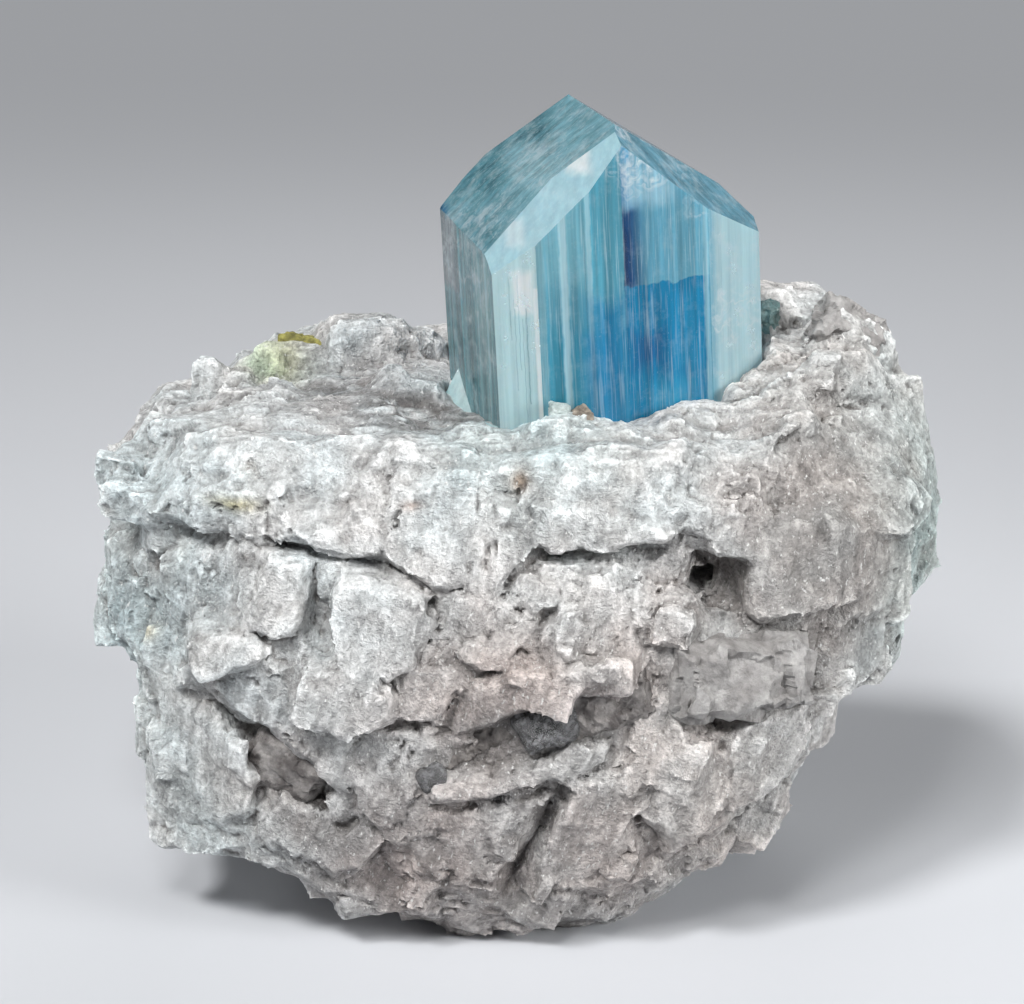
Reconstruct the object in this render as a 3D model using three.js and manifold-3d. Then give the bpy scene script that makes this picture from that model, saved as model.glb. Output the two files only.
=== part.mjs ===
// Euclase crystal on its feldspar matrix, with the small minerals that grew in the same pocket.
// Millimetres, +Z up, +X to the right and +Y away from the front. The rock rests on a flat base at z = 0.

import * as THREE from 'three';
import { ConvexGeometry } from 'three/addons/geometries/ConvexGeometry.js';
import { mergeVertices } from 'three/addons/utils/BufferGeometryUtils.js';
import Module from 'manifold-3d';

const wasm = await Module();
wasm.setup();

// ---------------------------------------------------------------- driving dimensions

const GAP = 0.3; // clearance between a piece and its socket in the rock
const REACH = 120; // size of the cutting blocks, larger than the whole specimen

// Broken blocks: the worn edge around the front as a share of the smallest side, and how far
// the corners and the rings stray as a share of the size.
const WEAR_SHARE = 0.16;
const CORNER_PLAY = 0.10;
const RING_PLAY = 0.05;
const FRONT_BLOCK_DEPTH = 9;

// Crack blades: how far they reach out of the rock, and the width of the inner end to the mouth's.
const CRACK_OVERRUN = 3;
const CRACK_TAPER = 0.25;

// The large crystal: the foot of its front left edge, its lean and the depth of its root.
const FOOT = new THREE.Vector3(-1.1, -9.5, 50);
const LEAN = THREE.MathUtils.degToRad(3);
const ROOT_DEPTH = 4.5;
const PRISM_LENGTH = 36;
const PRISM_HALF_WIDTH = 12;

// Plan of the prism across its long axis, measured from the foot, counter-clockwise from the left edge.
const PRISM_PLAN = [
  [-5.0, 14.4], [0, 0], [4.2, -0.7], [9.4, -0.4], [12.4, 0.6],
  [20.7, 4.4], [25.9, 9.2], [24.4, 18.5], [13, 24], [0, 21.5],
];

const PRISM_AXIS = new THREE.Vector2(10.5, 11.5); // where its long axis crosses the plan

// Corners of the wedge on its left foot, a centre inside it and its half width.
const WEDGE_CORNERS = [
  [-5.0, 2.4, 54.3], [-7.7, 0.6, 49.4], [-7.2, 4.8, 49.4], [-3.6, -1.8, 49.4],
  [-3.6, 4.0, 49.4], [-4.0, 1.0, 52.6], [-7.7, 0.6, 47.4], [-7.2, 4.8, 47.4],
  [-3.6, -1.8, 47.4], [-3.6, 4.0, 47.4],
];
const WEDGE_CENTRE = new THREE.Vector3(-5.4, 1.8, 50);
const WEDGE_HALF_WIDTH = 2.4;

// Faces that close the top of the prism: outward normal and one point of each face.
const APEX = [5.5, 5.5, 80.35];
const LEFT_SHOULDER = [-7.2, 5.0, 69.2];
const ROOF_FACES = [
  { normal: [-0.60, -0.30, 0.74], through: APEX },
  { normal: [-0.67, -0.36, 0.65], through: LEFT_SHOULDER },
  { normal: [-0.50, -0.68, 0.54], through: [-1.85, -9.5, 65.3] },
  { normal: [0.66, -0.31, 0.685], through: [18.0, -5.1, 71.3] },
  { normal: [0.50, 0.066, 0.863], through: APEX },
  { normal: [-0.315, 0.75, 0.60], through: APEX },
  { normal: [-0.75, 0.60, 0.45], through: LEFT_SHOULDER },
  { normal: [0.43, 0.675, 0.60], through: APEX },
  { normal: [0.57, 0.50, 0.65], through: [18.3, 1.9, 73.3] },
];

// The rock as stacked oval sections: height, then its left, right, front and back limits.
const SECTIONS = [
  [0, -13, 14, -12, 11],
  [2.5, -18, 17.5, -15, 15],
  [6, -27, 21, -17, 18],
  [10, -31, 26, -18.5, 21],
  [15, -33.5, 29.5, -20, 23],
  [20, -35.5, 31.5, -20.5, 25],
  [26, -37.5, 35.5, -20.5, 26],
  [31, -39, 39, -20, 27],
  [37, -39.5, 40.2, -18.5, 27],
  [42, -38.5, 40.2, -17, 26.5],
  [46, -37, 39.5, -15.5, 25.5],
  [50, -34, 38.5, -13, 24],
];
const SECTION_POINTS = 26;
const SECTION_SQUARENESS = 2.8;

// ---------------------------------------------------------------- solids, joins and cuts

/** A closed solid from a three.js geometry. */
function solidOf(geometry) {
  const bare = geometry.clone();
  bare.deleteAttribute('normal');
  bare.deleteAttribute('uv');
  const merged = mergeVertices(bare, 1e-4);
  return new wasm.Manifold(new wasm.Mesh({
    numProp: 3,
    vertProperties: new Float32Array(merged.attributes.position.array),
    triVerts: new Uint32Array(merged.index.array),
  }));
}

/** The faces of a solid as a three.js geometry, flat shaded. */
function geometryOf(solid) {
  const mesh = solid.getMesh();
  const indexed = new THREE.BufferGeometry();
  indexed.setAttribute('position', new THREE.BufferAttribute(new Float32Array(mesh.vertProperties), 3));
  indexed.setIndex(new THREE.BufferAttribute(new Uint32Array(mesh.triVerts), 1));
  const flat = indexed.toNonIndexed();
  flat.computeVertexNormals();
  return flat;
}

/** All the solids joined in one. */
function joined(solids) {
  return solids.reduce((whole, next) => whole.add(next));
}

/** The largest of a solid's loose bodies, which drops splinters that a cut has freed. */
function largestBody(solid) {
  const bodies = solid.decompose();
  bodies.sort((a, b) => b.volume() - a.volume());
  return bodies[0];
}

/** What is left of a solid behind a plane. */
function trimmed(solid, normal, through) {
  const outward = new THREE.Vector3(...normal).normalize();
  const centre = new THREE.Vector3(...through).addScaledVector(outward, REACH / 2);
  const cutter = new THREE.BoxGeometry(REACH, REACH, REACH);
  cutter.applyQuaternion(new THREE.Quaternion().setFromUnitVectors(new THREE.Vector3(0, 0, 1), outward));
  cutter.translate(centre.x, centre.y, centre.z);
  return solid.subtract(solidOf(cutter));
}

/** A repeatable number between -1 and 1 for a piece's number and one of its corners. */
function uneven(piece, corner) {
  const wave = Math.sin(piece * 127.1 + corner * 311.7) * 43758.5453;
  return (wave - Math.floor(wave)) * 2 - 1;
}

// ---------------------------------------------------------------- broken blocks

/**
 * A cleavage block with slightly uneven corners and a worn edge around its front.
 * `turn` is its yaw to the right, its tilt upward and its roll, anticlockwise from the front, in degrees.
 */
function brokenBlock(piece, at, size, turn = [0, 0, 0], grow = 0) {
  const [width, depth, height] = size.map((side) => side + 2 * grow);
  const wear = Math.min(width, depth, height) * WEAR_SHARE;
  const rings = [
    { y: depth / 2, inset: 0 },
    { y: -depth / 2 + wear, inset: 0 },
    { y: -depth / 2, inset: wear },
  ];
  const points = [];
  rings.forEach((ring, level) => {
    [[-1, -1], [1, -1], [1, 1], [-1, 1]].forEach(([sideX, sideZ], corner) => {
      const x = sideX * (width / 2 - ring.inset) * (1 + CORNER_PLAY * uneven(piece, corner));
      const z = sideZ * (height / 2 - ring.inset) * (1 + CORNER_PLAY * uneven(piece, corner + 4));
      const y = ring.y * (1 + RING_PLAY * uneven(piece, corner + 4 * level));
      points.push(new THREE.Vector3(x, y, z));
    });
  });
  const geometry = new ConvexGeometry(points);
  geometry.applyMatrix4(placed(at, turn));
  return solidOf(geometry);
}

/** The matrix that turns a piece by yaw, tilt and roll in degrees and sets it down at a point. */
function placed(at, [yaw, tilt, roll]) {
  const rad = THREE.MathUtils.degToRad;
  const turn = new THREE.Euler(-rad(tilt), -rad(roll), rad(yaw), 'ZXY');
  return new THREE.Matrix4().compose(
    new THREE.Vector3(...at),
    new THREE.Quaternion().setFromEuler(turn),
    new THREE.Vector3(1, 1, 1),
  );
}

// Blocks on the front, set on the rock's sections: x and z of the face's centre, width, height,
// how far it stands proud, tilt upward and roll, in millimetres and degrees.
const FRONT_BLOCKS = [
  // the thick ledge at the upper left, with its overhanging lower lip
  [-33.0, 45.4, 10.0, 9.0, 1.6, 20, 0],
  [-26.0, 45.8, 12.0, 9.4, 2.4, 24, 2],
  [-17.0, 45.2, 13.4, 9.6, 2.0, 22, -3],
  [-9.2, 45.8, 9.0, 8.6, 1.5, 18, -4],
  [-29.0, 42.4, 13.0, 4.6, 3.2, 6, -2],
  [-17.5, 42.2, 13.0, 4.4, 2.8, 4, -5],
  // the lip under the crystal
  [9.8, 45.6, 13.6, 9.8, 2.4, 4, -1],
  [-2.2, 44.0, 10.8, 9.6, 2.0, 12, 3],
  [-4.2, 48.0, 9.4, 4.0, 0.8, 20, 2],
  [16.9, 46.4, 5.6, 8.4, 1.0, 8, 8],
  // inclined slabs and the square block below the ledge
  [-22.4, 36.2, 11.6, 9.6, 1.7, 12, -14],
  [-30.4, 37.0, 8.0, 7.0, 0.9, 10, -4],
  [-11.8, 35.8, 10.0, 9.8, 1.9, 6, -9],
  [-5.4, 37.0, 4.8, 6.4, 0.9, 4, -24],
  [-36.6, 33.2, 7.0, 9.4, 1.6, 4, 6],
  // small stepped blocks in the middle
  [2.6, 38.4, 4.8, 4.2, 1.5, 4, -6],
  [7.9, 38.6, 3.8, 4.8, 1.2, 2, 8],
  [12.4, 37.8, 5.0, 5.4, 0.9, 4, -8],
  [-1.5, 37.4, 3.8, 3.6, 0.8, 6, 10],
  [0.4, 34.8, 5.6, 3.0, 1.9, 12, 4],
  [5.2, 34.6, 4.6, 3.2, 2.1, 12, -3],
  [9.9, 34.2, 5.0, 3.6, 1.5, 10, 6],
  [13.9, 33.4, 3.8, 3.8, 0.9, 6, -6],
  // the row of pale and pinkish blocks above the seam
  [-25.6, 31.0, 11.4, 7.6, 2.2, 12, 8],
  [-14.4, 28.6, 11.0, 7.4, 2.4, 10, -6],
  [-6.4, 30.2, 7.8, 9.8, 1.5, 2, -22],
  [-0.5, 28.6, 9.6, 7.8, 2.1, 8, -14],
  [6.5, 30.4, 8.8, 6.2, 2.6, 4, -3],
  [-34.0, 27.2, 7.6, 8.6, 0.9, 4, -3],
  // slabs below the seam
  [-11.2, 22.6, 13.8, 6.8, 1.9, 12, -8],
  [-19.6, 24.6, 8.8, 6.2, 1.2, 8, 10],
  [1.4, 20.8, 14.0, 4.2, 1.5, 4, 10],
  [-7.4, 17.4, 11.8, 7.6, 1.7, 2, 6],
  [8.2, 18.4, 9.8, 8.2, 1.3, -2, -10],
  [16.8, 18.6, 9.2, 10.2, 2.2, -2, -14],
  [24.8, 22.4, 9.8, 9.2, 1.7, -4, -6],
  [14.6, 24.8, 6.6, 4.6, 1.1, 6, 4],
  // the belly, facing down to the base
  [-21.4, 11.8, 13.0, 7.0, 1.8, -14, -26],
  [-12.6, 8.6, 12.4, 6.4, 1.8, -20, -18],
  [-3.6, 10.6, 9.8, 7.8, 1.5, -12, 4],
  [7.0, 11.4, 10.2, 7.6, 1.7, -8, 4],
  [16.0, 10.8, 9.0, 7.8, 1.5, -12, 28],
  [-3.0, 5.6, 10.4, 6.4, 0.8, -34, 0],
  [6.2, 6.0, 9.4, 6.2, 0.7, -34, 4],
  [23.6, 14.2, 7.0, 8.0, 1.3, -12, 34],
  // the diagonal ledge, the smooth slab under it and the upright blocks at the right
  [16.4, 41.2, 5.8, 7.8, 1.8, 4, 24],
  [20.4, 45.8, 6.8, 5.6, 1.9, 14, 28],
  [26.0, 48.4, 7.0, 4.6, 1.6, 14, 30],
  [33.0, 44.2, 15.0, 11.0, 0.9, 34, 8],
  [25.8, 36.8, 9.2, 10.2, 1.9, 2, -2],
  [34.6, 36.4, 10.0, 9.6, 2.0, 2, -3],
  [19.4, 39.6, 4.6, 5.0, 0.4, 14, 0],
  [32.4, 28.8, 9.0, 8.0, 1.9, 2, 6],
  [30.4, 21.4, 6.0, 6.6, 1.2, -4, 12],
];

// Blocks away from the front: centre, size across x, y and z, and turn (yaw, tilt, roll).
const FREE_BLOCKS = [
  // the lobe that hangs at the lower left
  [[-28.0, -8.0, 15.8], [12.6, 15, 14.6], [-30, -4, 4]],
  [[-31.0, -1.0, 15.4], [8.6, 13, 12.0], [-70, -6, 0]],
  // the rim at both ends
  [[-37.0, 4.6, 42.6], [10.4, 8, 7.8], [-84, 4, 2]],
  [[-38.2, 1.6, 31.4], [11.0, 6.5, 7.4], [-80, 8, 2]],
  [[37.4, 0.6, 45.4], [10.0, 8, 8.6], [72, 8, 4]],
  [[38.4, 5.0, 36.6], [12.0, 8, 11.4], [86, 2, 3]],
  [[34.4, -1.4, 27.2], [10.0, 9, 7.4], [74, 0, -5]],
  // the upper surface around the crystal
  [[8.6, -8.2, 50.0], [17.0, 9, 4.2], [2, 0, -1]],
  [[19.6, -4.2, 50.8], [9.0, 9, 4.4], [14, 0, 6]],
  [[27.4, 2.4, 52.2], [6.4, 11, 5.6], [4, 6, 4]],
  [[-9.4, 6.0, 50.4], [9.0, 12, 5.0], [-8, 8, 2]],
  [[-19.0, 2.6, 49.4], [13.0, 19, 3.2], [-4, 3, 2]],
  [[-27.4, 4.0, 47.9], [9.0, 15, 4.0], [-16, 4, 7]],
  [[27.2, -3.6, 51.8], [7.8, 9, 5.2], [20, 10, 16]],
  [[31.8, -0.8, 53.2], [7.0, 9, 5.6], [24, 12, 20]],
  // blocks along its back edge, the small knob and the ridge at the right
  [[-15.4, 15.0, 52.4], [8.8, 8, 5.6], [4, 0, -2]],
  [[-22.8, 15.6, 51.0], [8.2, 8, 5.2], [-8, 0, 6]],
  [[-8.6, 16.6, 51.2], [5.4, 7, 5.4], [10, 0, 4]],
  [[-29.0, 14.4, 48.4], [6.4, 8, 4.0], [-20, 0, -8]],
  [[-31.0, 7.8, 50.9], [2.8, 2.8, 4.4], [0, 0, -6]],
  [[15.0, 21.0, 51.4], [16.0, 7, 5.6], [0, 0, 4]],
  [[29.4, 13.2, 54.2], [10.4, 9, 9.0], [6, 0, -6]],
  [[33.8, 6.4, 53.4], [7.4, 10, 8.0], [22, 0, -8]],
  [[37.0, 3.0, 49.8], [6.0, 9, 5.6], [40, 0, -6]],
];

// Rows of blocks over the back: their heights, how many to a row, their size, how far they stand
// proud, and how far they stray around the row, in height, outward and in turn.
const BACK_ROWS = { heights: [9, 19, 29, 39, 47], perRow: 7, size: [11, 8, 9], proud: 1.2 };
const BACK_PLAY = { around: 0.25, height: 1.5, outward: 0.5, tilt: 6, roll: 8 };

// Open cracks and recesses of the front: x and z of the mouth's centre, length, opening, depth,
// tilt and roll.
const CRACKS = [
  [-24.5, 40.2, 15.0, 1.2, 4.5, 10, -2],
  [-13.0, 40.0, 13.0, 0.9, 4.0, 6, -9],
  [-22.0, 31.4, 7.0, 1.4, 4.0, 6, 4],
  [-13.6, 24.6, 11.0, 1.2, 4.0, 8, 6],
  [18.4, 37.2, 4.4, 5.6, 5.5, 4, 6],
  [22.0, 33.4, 8.0, 1.0, 4.0, 6, -2],
  [1.8, 13.8, 16.0, 0.9, 3.4, 0, 66],
  [12.9, 17.6, 5.4, 1.3, 4.4, 0, 74],
  [-19.0, 17.8, 11.0, 2.0, 4.4, 4, -34],
  [23.6, 48.2, 7.0, 1.2, 4.5, 8, 10],
];

/** Limits of the rock's section at a height: left, right, front and back. */
function sectionAt(height) {
  const upper = Math.max(1, SECTIONS.findIndex((row) => row[0] >= height));
  const [low, high] = [SECTIONS[upper - 1], SECTIONS[upper]];
  const share = (height - low[0]) / (high[0] - low[0]);
  return [1, 2, 3, 4].map((side) => THREE.MathUtils.lerp(low[side], high[side], share));
}

/** A point on the rock's oval section, at an angle from +X and a height. */
function onSection(angle, height) {
  const [left, right, front, back] = sectionAt(height);
  const squared = (value) => Math.sign(value) * Math.abs(value) ** (2 / SECTION_SQUARENESS);
  const x = (left + right) / 2 + ((right - left) / 2) * squared(Math.cos(angle));
  const y = (front + back) / 2 + ((back - front) / 2) * squared(Math.sin(angle));
  return new THREE.Vector3(x, y, height);
}

/** A point on the front of the rock at an x and a height, and the yaw that faces outward there. */
function onFront(x, height) {
  const [left, right, front, back] = sectionAt(height);
  const [halfWidth, halfDepth] = [(right - left) / 2, (back - front) / 2];
  const across = THREE.MathUtils.clamp((x - (left + right) / 2) / halfWidth, -0.97, 0.97);
  const power = SECTION_SQUARENESS;
  const inward = (1 - Math.abs(across) ** power) ** (1 / power);
  const y = (front + back) / 2 - halfDepth * inward;
  const slopeX = (Math.sign(across) * Math.abs(across) ** (power - 1)) / halfWidth;
  const slopeY = inward ** (power - 1) / halfDepth;
  return { y, yaw: THREE.MathUtils.radToDeg(Math.atan2(slopeX, slopeY)) };
}

/** Where a piece of some depth is centred so that its face stands proud of the front. */
function centredOnFront(x, height, depth, proud) {
  const { y, yaw } = onFront(x, height);
  const inward = depth / 2 - proud;
  const turn = THREE.MathUtils.degToRad(yaw);
  return { at: [x - Math.sin(turn) * inward, y + Math.cos(turn) * inward, height], yaw };
}

/** A broken block whose face lies on the front of the rock. */
function frontBlock(piece, [x, z, width, height, proud, tilt, roll], depth = FRONT_BLOCK_DEPTH, grow = 0) {
  const { at, yaw } = centredOnFront(x, z, depth, proud);
  return brokenBlock(piece, at, [width, depth, height], [yaw, tilt, roll], grow);
}

/** An open crack: a wedge-shaped blade that cuts inward from the front of the rock. */
function crackBlade([x, z, length, opening, depth, tilt, roll]) {
  const { at, yaw } = centredOnFront(x, z, depth + CRACK_OVERRUN, CRACK_OVERRUN);
  const blade = new THREE.CylinderGeometry(1, CRACK_TAPER, 1, 4, 1);
  blade.rotateY(Math.PI / 4);
  blade.rotateX(Math.PI / 2);
  const side = Math.SQRT2;
  blade.scale(length / side, depth + CRACK_OVERRUN, opening / side);
  return solidOf(blade.applyMatrix4(placed(at, [yaw, tilt, roll])));
}

/** The rock's body: one convex slab between each two of its sections, joined. */
function rockBody() {
  const ring = (height) => Array.from({ length: SECTION_POINTS }, (_, step) => (
    onSection((step / SECTION_POINTS) * 2 * Math.PI, height)
  ));
  const slabs = SECTIONS.slice(1).map((row, index) => (
    solidOf(new ConvexGeometry([...ring(SECTIONS[index][0]), ...ring(row[0])]))
  ));
  return joined(slabs);
}

/** Blocks over the back of the rock, in rows that follow its sections. */
function backBlocks() {
  const { heights, perRow, size, proud } = BACK_ROWS;
  return heights.flatMap((height, row) => Array.from({ length: perRow }, (_, step) => {
    const piece = 200 + row * perRow + step;
    const share = (step + 0.5 + BACK_PLAY.around * uneven(piece, 1)) / perRow;
    const angle = share * Math.PI;
    const at = onSection(angle, height + BACK_PLAY.height * uneven(piece, 2));
    const tuck = size[1] / 2 - proud + BACK_PLAY.outward * uneven(piece, 3);
    at.x -= Math.cos(angle) * tuck;
    at.y -= Math.sin(angle) * tuck;
    const yaw = THREE.MathUtils.radToDeg(angle) + 90;
    const turn = [yaw, BACK_PLAY.tilt * uneven(piece, 4), BACK_PLAY.roll * uneven(piece, 5)];
    return brokenBlock(piece, at.toArray(), size, turn);
  }));
}

// ---------------------------------------------------------------- crystals

/** The large crystal's prism, cut by its roof faces. `grow` makes the socket for it. */
function largeCrystal(grow = 0) {
  const outward = 1 + grow / PRISM_HALF_WIDTH;
  const outline = PRISM_PLAN.map(([x, y]) => (
    new THREE.Vector2(x, y).sub(PRISM_AXIS).multiplyScalar(outward).add(PRISM_AXIS)
  ));
  const prism = new THREE.ExtrudeGeometry(new THREE.Shape(outline), {
    depth: PRISM_LENGTH + ROOT_DEPTH + grow,
    bevelEnabled: false,
  });
  prism.translate(0, 0, -ROOT_DEPTH - grow);
  prism.rotateY(-LEAN);
  prism.translate(FOOT.x, FOOT.y, FOOT.z);
  let crystal = solidOf(prism);
  if (grow === 0) {
    ROOF_FACES.forEach((face) => {
      crystal = trimmed(crystal, face.normal, face.through);
    });
  }
  return crystal;
}

/** The wedge-shaped crystal grown onto the left foot of the large one. */
function footWedge(grow = 0) {
  const geometry = new ConvexGeometry(WEDGE_CORNERS.map((corner) => new THREE.Vector3(...corner)));
  const outward = 1 + grow / WEDGE_HALF_WIDTH;
  geometry.translate(-WEDGE_CENTRE.x, -WEDGE_CENTRE.y, -WEDGE_CENTRE.z);
  geometry.scale(outward, outward, outward);
  geometry.translate(WEDGE_CENTRE.x, WEDGE_CENTRE.y, WEDGE_CENTRE.z);
  return solidOf(geometry);
}

/** A small six-sided crystal with a slanted tip, standing at a point. */
function smallPrism(at, radius, height, tipNormal, turn, grow = 0) {
  const prism = new THREE.CylinderGeometry(radius + grow, radius + grow, height + grow, 6);
  prism.rotateX(Math.PI / 2);
  prism.translate(0, 0, (height - grow) / 2);
  prism.applyMatrix4(placed(at, turn));
  const solid = solidOf(prism);
  const tip = [at[0], at[1], at[2] + height - radius * 0.35];
  return grow > 0 ? solid : trimmed(solid, tipNormal, tip);
}

// ---------------------------------------------------------------- the pieces that sit in the rock

const PALE_FELDSPAR = { color: 0xd6d1cc, roughness: 0.72, metalness: 0 };
const BLUE_EUCLASE = { color: 0x6db4cc, roughness: 0.08, metalness: 0, transparent: true, opacity: 0.6 };
const GREEN_BERYL = { color: 0xb9d3c6, roughness: 0.2, metalness: 0 };
const TAN_GRAIN = { color: 0xb09a7c, roughness: 0.7, metalness: 0 };
const GREY_QUARTZ = { color: 0x8f9296, roughness: 0.2, metalness: 0 };
const CLEAR_QUARTZ = { color: 0xc4c6c8, roughness: 0.12, metalness: 0 };
const BLACK_ORE = { color: 0x1c1d22, roughness: 0.3, metalness: 0.8 };
const YELLOW_CRUST = { color: 0x8d8a45, roughness: 0.75, metalness: 0 };

// Each piece is made by a function of `grow`: 0 gives the piece, GAP gives its socket.
const INLAYS = [
  {
    name: 'euclase_crystal',
    finish: BLUE_EUCLASE,
    make: (grow) => largeCrystal(grow).add(footWedge(grow)),
  },
  {
    name: 'euclase_rear_crystal',
    finish: BLUE_EUCLASE,
    make: (grow) => smallPrism([26.2, 6.4, 51.6], 1.3, 7.8, [0.45, -0.3, 0.84], [10, 0, 2], grow),
  },
  {
    name: 'foot_prism',
    finish: GREEN_BERYL,
    make: (grow) => brokenBlock(301, [4.4, -11.5, 51.9], [1.5, 1.2, 2.6], [8, 0, -6], grow),
  },
  {
    name: 'foot_grain',
    finish: TAN_GRAIN,
    make: (grow) => brokenBlock(302, [6.5, -11.6, 52.0], [1.7, 1.4, 2.0], [20, 10, 18], grow),
  },
  {
    name: 'quartz_seam_left',
    finish: GREY_QUARTZ,
    make: (grow) => frontBlock(303, [-3.4, 23.4, 9.0, 3.0, 0.5, 2, 28], 6, grow),
  },
  {
    name: 'quartz_seam_right',
    finish: GREY_QUARTZ,
    make: (grow) => frontBlock(304, [9.2, 26.6, 8.4, 4.6, 1.2, 6, 16], 7, grow),
  },
  {
    name: 'ore_grain',
    finish: BLACK_ORE,
    make: (grow) => frontBlock(305, [3.2, 25.0, 4.2, 3.0, 1.4, 6, 22], 5, grow),
  },
  {
    name: 'ore_speck',
    finish: BLACK_ORE,
    make: (grow) => frontBlock(306, [-7.4, 19.9, 1.8, 1.4, 2.0, 0, 20], 3.4, grow),
  },
  {
    name: 'smoky_quartz_left',
    finish: GREY_QUARTZ,
    make: (grow) => frontBlock(307, [-21.6, 19.8, 7.4, 4.4, 0.2, -4, -34], 5, grow),
  },
  {
    name: 'quartz_block',
    finish: CLEAR_QUARTZ,
    make: (grow) => frontBlock(308, [21.6, 29.6, 11.0, 6.4, 2.2, 14, -4], 8, grow),
  },
  {
    name: 'quartz_plate',
    finish: CLEAR_QUARTZ,
    make: (grow) => brokenBlock(309, [33.4, 3.6, 57.0], [6.8, 4.4, 5.0], [24, 30, -28], grow),
  },
  {
    name: 'quartz_point',
    finish: GREY_QUARTZ,
    make: (grow) => smallPrism([34.0, -0.6, 51.4], 1.5, 4.4, [0.3, -0.5, 0.8], [20, 0, 10], grow),
  },
  {
    name: 'yellow_crust',
    finish: YELLOW_CRUST,
    make: (grow) => brokenBlock(310, [-21.6, 14.4, 53.2], [5.0, 4.2, 1.6], [-6, 12, -8], grow),
  },
];

/** The feldspar rock: body and blocks joined, with a flat base and a socket for each inlay. */
function rock() {
  const front = FRONT_BLOCKS.map((row, piece) => frontBlock(piece + 1, row));
  const free = FREE_BLOCKS.map(([at, size, turn], piece) => brokenBlock(piece + 101, at, size, turn));
  let whole = joined([rockBody(), ...front, ...free, ...backBlocks()]);
  CRACKS.forEach((crack) => {
    whole = whole.subtract(crackBlade(crack));
  });
  whole = trimmed(whole, [0, 0, -1], [0, 0, 0]);
  INLAYS.forEach((inlay) => {
    whole = whole.subtract(inlay.make(GAP));
  });
  return largestBody(whole);
}

/** The inlays as solids, each cut back by the sockets of those listed after it. */
function inlaySolids() {
  return INLAYS.map((inlay, index) => {
    const later = INLAYS.slice(index + 1);
    const cut = later.reduce((solid, next) => solid.subtract(next.make(GAP)), inlay.make(0));
    return { ...inlay, solid: largestBody(cut) };
  });
}

/** A named mesh of a solid. */
function meshOf(name, solid, finish) {
  const mesh = new THREE.Mesh(geometryOf(solid), new THREE.MeshStandardMaterial(finish));
  mesh.name = name;
  return mesh;
}

const specimen = new THREE.Group();
specimen.add(meshOf('feldspar_matrix', rock(), PALE_FELDSPAR));
inlaySolids().forEach(({ name, solid, finish }) => specimen.add(meshOf(name, solid, finish)));

// The frame's origin is the middle of the specimen's box, on the base.
const middle = new THREE.Box3().setFromObject(specimen).getCenter(new THREE.Vector3());
specimen.children.forEach((mesh) => mesh.geometry.translate(-middle.x, -middle.y, 0));

export default specimen;
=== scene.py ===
"""Blue euclase crystal on its feldspar matrix: the looks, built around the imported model.

Every measure below is in millimetres, in the drawing's own frame: x to the right, y away from
the front, z up from the flat base. The function place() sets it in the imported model's frame.
"""
import itertools
import logging
import math
from dataclasses import dataclass, field
from enum import Enum

import bmesh
import bpy
import numpy as np
from mathutils import Euler, Matrix, Vector


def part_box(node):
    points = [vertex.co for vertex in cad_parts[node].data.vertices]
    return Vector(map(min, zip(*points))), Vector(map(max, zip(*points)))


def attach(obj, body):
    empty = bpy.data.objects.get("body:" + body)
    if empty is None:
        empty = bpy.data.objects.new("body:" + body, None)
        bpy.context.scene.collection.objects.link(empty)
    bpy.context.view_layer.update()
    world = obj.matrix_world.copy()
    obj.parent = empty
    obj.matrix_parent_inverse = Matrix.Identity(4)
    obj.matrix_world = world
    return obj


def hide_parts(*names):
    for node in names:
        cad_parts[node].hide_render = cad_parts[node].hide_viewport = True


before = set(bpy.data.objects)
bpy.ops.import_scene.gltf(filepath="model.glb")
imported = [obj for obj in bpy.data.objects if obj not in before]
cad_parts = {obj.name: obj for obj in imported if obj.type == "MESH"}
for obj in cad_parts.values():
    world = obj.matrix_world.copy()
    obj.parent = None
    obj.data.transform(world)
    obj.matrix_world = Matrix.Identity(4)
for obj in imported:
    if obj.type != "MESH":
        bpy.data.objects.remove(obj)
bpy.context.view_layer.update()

LOG = logging.getLogger("specimen")

MM = 0.001
Row = tuple[float, ...]
Rgba = tuple[float, float, float, float]

# The large crystal's lowest corner in the drawing's frame, which ties that frame to the model's.
CRYSTAL_CORNER = Vector((-7.70, -10.20, 0.0))
SHIFT = Vector((*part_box("euclase_crystal")[0].xy, 0.0)) / MM - CRYSTAL_CORNER


def place(x: float, y: float, z: float) -> Vector:
    """A point of the drawing's frame, in millimetres, as one of the model's, in metres."""
    return (Vector((x, y, z)) + SHIFT) * MM


# ------------------------------------------------------------------------------ colours and nodes


def paint(colour: int) -> Rgba:
    """An sRGB hex colour as linear red, green, blue and alpha.

    Args:
        colour: the colour, such as 0xD9D4CC.

    Returns:
        The linear colour, with an alpha of 1.
    """
    channels = [((colour >> shift) & 0xFF) / 255 for shift in (16, 8, 0)]
    linear = [c / 12.92 if c <= 0.04045 else ((c + 0.055) / 1.055) ** 2.4 for c in channels]
    return (linear[0], linear[1], linear[2], 1.0)


def add(tree: bpy.types.NodeTree, kind: str, inputs: dict | None = None, **settings) -> bpy.types.Node:
    """Adds a node with its settings, values and links.

    Args:
        tree: the node tree that gets the node.
        kind: the node's type without its "ShaderNode" prefix.
        inputs: for each input, by name or number, a socket to link or a value to set.
        settings: the node's own settings; "stops" are a colour ramp's positions and colours.

    Returns:
        The new node.
    """
    node = tree.nodes.new(f"ShaderNode{kind}")
    stops = settings.pop("stops", None)
    for name, value in settings.items():
        setattr(node, name, value)
    if stops:
        elements = node.color_ramp.elements
        while len(elements) < len(stops):
            elements.new(0.5)
        for element, (position, colour) in zip(elements, stops):
            element.position = position
            element.color = colour
    for name, value in (inputs or {}).items():
        if isinstance(value, bpy.types.NodeSocket):
            tree.links.new(value, node.inputs[name])
        else:
            node.inputs[name].default_value = value
    return node


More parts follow.
